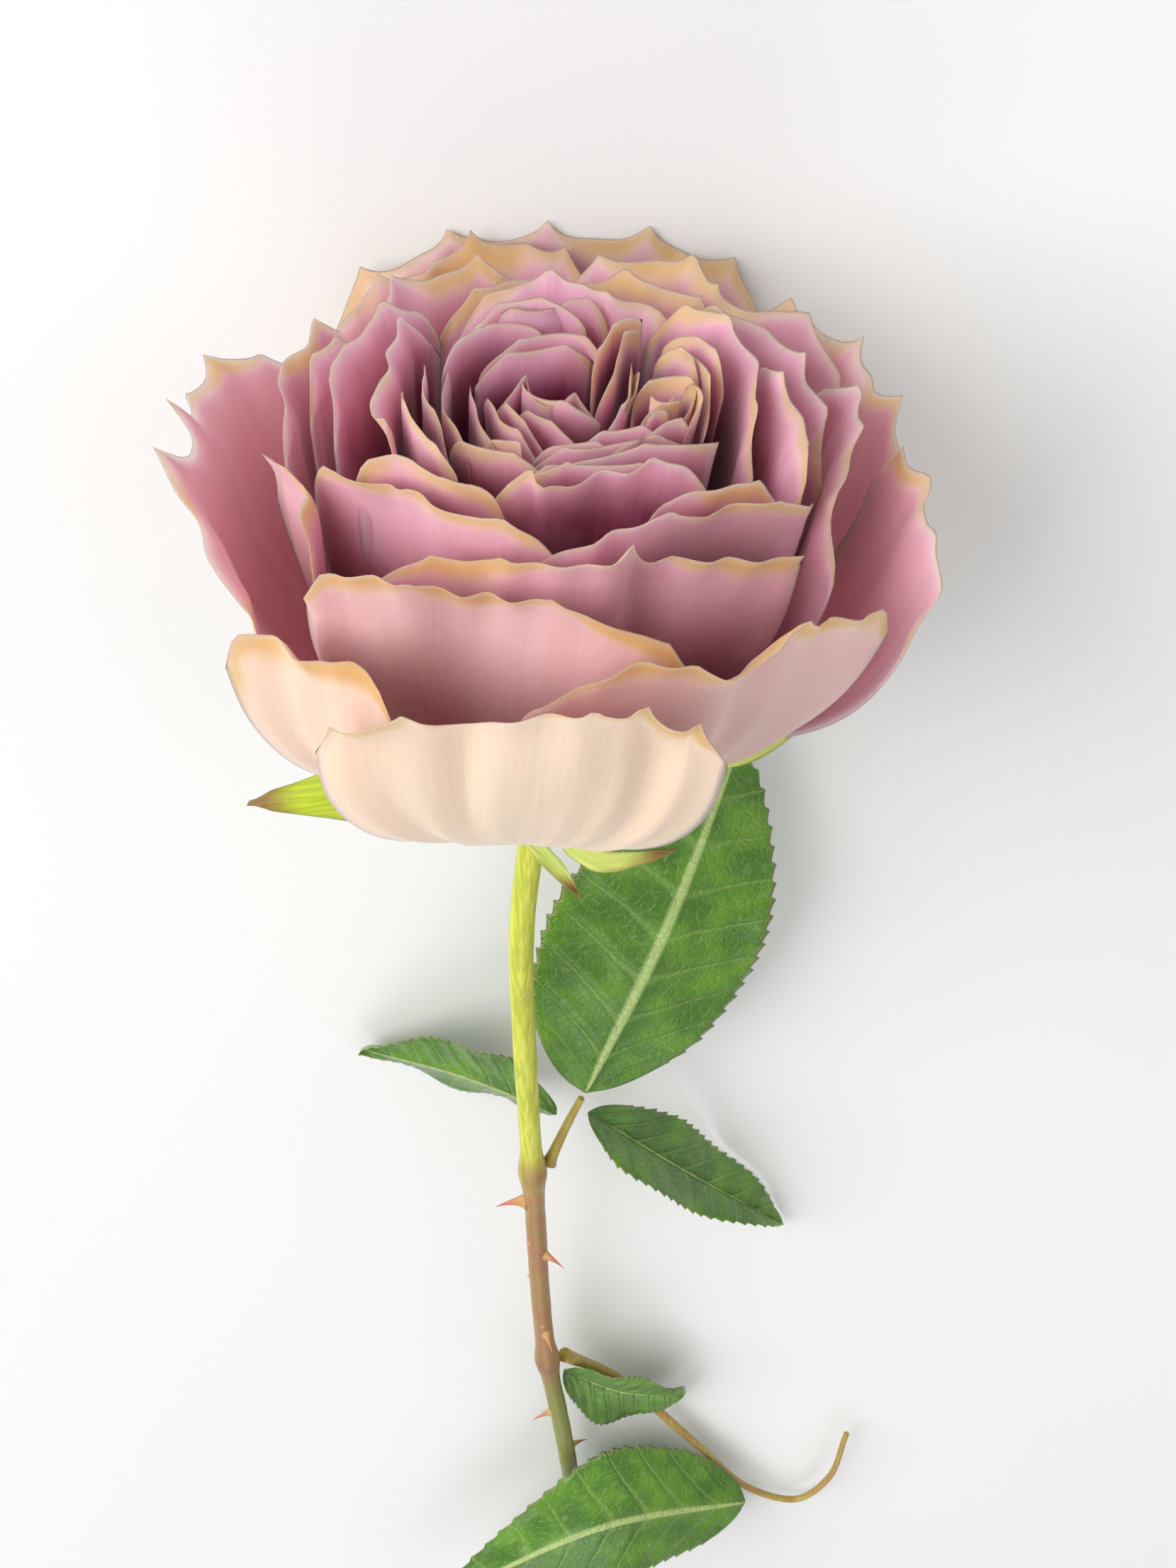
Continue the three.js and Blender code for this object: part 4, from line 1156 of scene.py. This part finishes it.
def make_leaf(leaf, node, stalk, leaflets):
    origin = STEM_PATH.even(node)[0] + [float(stem_radius(node)), 0, 0]
    share = np.linspace(0, 1, 90)
    route = Path(np.add(stalk, origin)).even(share)
    thick = STALK_RADIUS * (1.25 - 0.5 * share) + 0.5 * np.exp(-share * 14)
    piece = tube(leaf + "_stalk_fine", route, thick, {"along": 0.4, "node": 0.3, "sunny": 0.2}, 16)
    finish_piece(piece, leaf + "_stalk")
    return [make_leaflet(f"{leaf}_leaflet_{label}", np.add(spine, origin), *rest)
            for label, spine, *rest in leaflets]


leaflets = [leaflet for leaf in LEAVES for leaflet in make_leaf(*leaf)]
print("leaflet faces:", sum(len(leaflet.data.polygons) for leaflet in leaflets))


# %% Sepals
SEPAL_WIDTH = 11.0
SEPAL_THICKNESS = 0.8

# name, azimuth, path in mm from its root, direction of its width, and share of the full width
SEPALS = [
    ("sepal_left", -75, [(-8, -3, -0.2), (-19, -5, -1.5), (-32, -5, -3.5)], (0, 0.5, 1), 1.7),
    ("sepal_right", 80, [(9, -1.5, 0), (20, -2, 4), (36, 0, 17)], (0, -0.5, 0.8), 0.9),
    ("sepal_front", 22, [(1.5, -6, -1.5), (6, -10, -1), (17, -10.5, 2)], (0.2, 0.4, 1), 0.6),
    ("sepal_hanging", -14, [(2, -1.6, -3), (6, -1.6, -9), (10.6, -1.6, -17.5)], (1, 0, 0), 0.55),
    ("sepal_back", 200, [(-1, 8, -3), (2, 17, -3), (6, 24, 1)], (1, 0, 0.1), 1),
]


def make_sepal(name, azimuth, route, side, share_of_width):
    angle = math.radians(azimuth)
    reach = SEAT_RADIUS + 1
    z = shoulder(SEAT_RADIUS) - 1.5
    start = np.array([HIP_SHIFT + reach * math.sin(angle), -reach * math.cos(angle), z])
    v, V, S = blade_grid(120, 24)
    width = SEPAL_WIDTH * share_of_width
    half = BLADE_TIP + (0.5 * width - BLADE_TIP) * (1 - v) ** 0.9 * (0.55 + 1.5 * v * (1.2 - v))
    half = half[:, None] * (1 - smoothstep(V, 0.9, 1.0) * 0.7)
    ribs = 0.16 * np.cos(S * math.pi * 3) * (1 - V)
    curl = 1.4 * np.abs(S) ** 2.5 * smoothstep(V, 0.45, 1) + 0.5 * np.sin(V * 13 + S) * np.abs(S) ** 2
    points = blade_points(Path([start, *np.add(route, start)]), side, half, S, ribs + curl, 0.15, v)
    edge = np.minimum((1 - np.abs(S)) * half, np.minimum(V * 60 + 0.3, (1 - V) * 60))
    attributes = {"across": np.abs(S), "along": V, "body": smoothstep(edge, 0, 1.0)}
    uv = np.stack([S * half, V * 40], -1)
    piece = sheet(name + "_fine", points, attributes, uv, "blade", SEPAL_THICKNESS, sepal_skin)
    return finish_piece(piece, name)


sepals = [make_sepal(*sepal) for sepal in SEPALS]
print("sepals:", len(sepals))

# %% [markdown]
# ## The hip
# The green cup under the bloom carries the petals and narrows to the stem. It is turned like a
# bowl, and its wall is not quite round: five soft ribs run down from the roots of the sepals.


# %% Hip
HIP_SIDES = 80
HIP_RINGS = 90


def make_hip():
    edge = shoulder(SEAT_RADIUS)
    profile = np.array([
        (0.01, edge - HIP_HEIGHT), (STEM_RADIUS_TOP + 0.7, edge - HIP_HEIGHT),
        (3.6, edge - 0.88 * HIP_HEIGHT), (5.2, edge - 0.7 * HIP_HEIGHT), (7.4, edge - 0.45 * HIP_HEIGHT),
        (SEAT_RADIUS - 2.4, edge - 3.6), (SEAT_RADIUS - 0.4, edge - 1.4), (SEAT_RADIUS, edge),
        (BASE_RADIUS, -SEAT_GAP), (0.01, -SEAT_GAP)])
    place = np.linspace(0, len(profile) - 1, HIP_RINGS)
    radius, height = (np.interp(place, np.arange(len(profile)), column) for column in profile.T)
    turn = np.radians(np.arange(HIP_SIDES) * 360 / HIP_SIDES)
    ribs = 1 + 0.035 * np.cos(5 * turn)[None, :] * np.sin(np.clip(place / 6, 0, 1) * math.pi)[:, None]
    x = HIP_SHIFT + radius[:, None] * ribs * np.sin(turn)
    y = -radius[:, None] * ribs * np.cos(turn)
    points = np.stack([x, y, np.broadcast_to(height[:, None], x.shape)], -1)
    mesh = new_mesh("hip_fine", on_table(points), (), ring_faces(HIP_RINGS, HIP_SIDES))
    mesh.materials.append(hip_skin)
    mesh.shade_smooth()
    return finish_piece(new_piece("hip_fine", mesh), "hip")


hip = make_hip()
print("hip faces:", len(hip.data.polygons))

# %% [markdown]
# ## Table, light and camera
# The rose lies on a pale table under a soft studio light: a large strong panel from one side,
# weaker ones from the other side and from behind, and a bright room all round. The camera looks
# down into the bloom at 45 degrees to its axis, with a normal lens.

# %% Table
TABLE_HALF = 3.0
TABLE_HEIGHT = -0.0004


def paint_table(tree):
    cloud = tree.noise(tree.place(), 3.0)
    return {"Base Color": tree.mix(cloud, (224, 224, 223), (230, 230, 229)), "Roughness": 0.7 + 0.1 * cloud}


def lay_table():
    half = TABLE_HALF
    corners = np.array([(-half, -half), (half, -half), (half, half), (-half, half)])
    mesh = new_mesh("table", np.insert(corners, 2, TABLE_HEIGHT, 1), (), [(0, 1, 2, 3)])
    mesh.materials.append(material("table_paint", paint_table, Specular_IOR_Level=0.2))
    piece = new_piece("table", mesh)
    return piece


table = lay_table()

# %% Lights
BLOOM = Vector(on_table((0, 0, 50)).tolist())
ROOM_STRENGTH = 0.51

# name, place from the bloom and side of the square, both in metres, and power in watts
PANELS = [
    ("window_panel", (0.95, -0.45, 0.85), 1.3, 22.0),
    ("fill_panel", (-0.9, -0.3, 1.0), 1.2, 3.0),
    ("back_panel", (0.1, 1.2, 0.9), 1.0, 4.0),
]


def panel(name, away, size, power):
    light = bpy.data.lights.new(name, "AREA")
    light.shape = "SQUARE"
    light.size = size
    light.energy = power
    lamp = bpy.data.objects.new(name, light)
    lamp.location = BLOOM + Vector(away)
    lamp.rotation_euler = (BLOOM - lamp.location).to_track_quat("-Z", "Y").to_euler()
    bpy.context.scene.collection.objects.link(lamp)
    return name


print("lights:", [panel(*one) for one in PANELS])
world = bpy.data.worlds.new("bright_room")
world.use_nodes = True
sky = world.node_tree.nodes["Background"]
sky.inputs["Color"].default_value = (1.0, 1.0, 1.0, 1.0)
sky.inputs["Strength"].default_value = ROOM_STRENGTH
bpy.context.scene.world = world
bpy.context.scene.view_settings.view_transform = "Standard"

# %% Camera
LENS_MM = 50.0
SENSOR_MM = 36.0
VIEW_POINT = (2.65, -247.6, 234.5)
VIEW_TILT = math.radians(45)


def set_camera():
    data = bpy.data.cameras.new("camera")
    data.lens = LENS_MM
    data.sensor_fit = "VERTICAL"
    data.sensor_height = SENSOR_MM
    data.clip_start = 0.01
    camera = bpy.data.objects.new("camera", data)
    sin, cos = math.sin(VIEW_TILT), math.cos(VIEW_TILT)
    axes = turned([(1.0, 0.0, 0.0), (0.0, sin, cos), (0.0, -cos, sin)])
    rotation = Matrix(axes.tolist()).transposed()
    camera.matrix_world = Matrix.Translation(Vector(on_table(VIEW_POINT).tolist())) @ rotation.to_4x4()
    bpy.context.scene.collection.objects.link(camera)
    bpy.context.scene.camera = camera
    return camera


camera = set_camera()
print("camera at", [round(c, 3) for c in camera.matrix_world.translation])
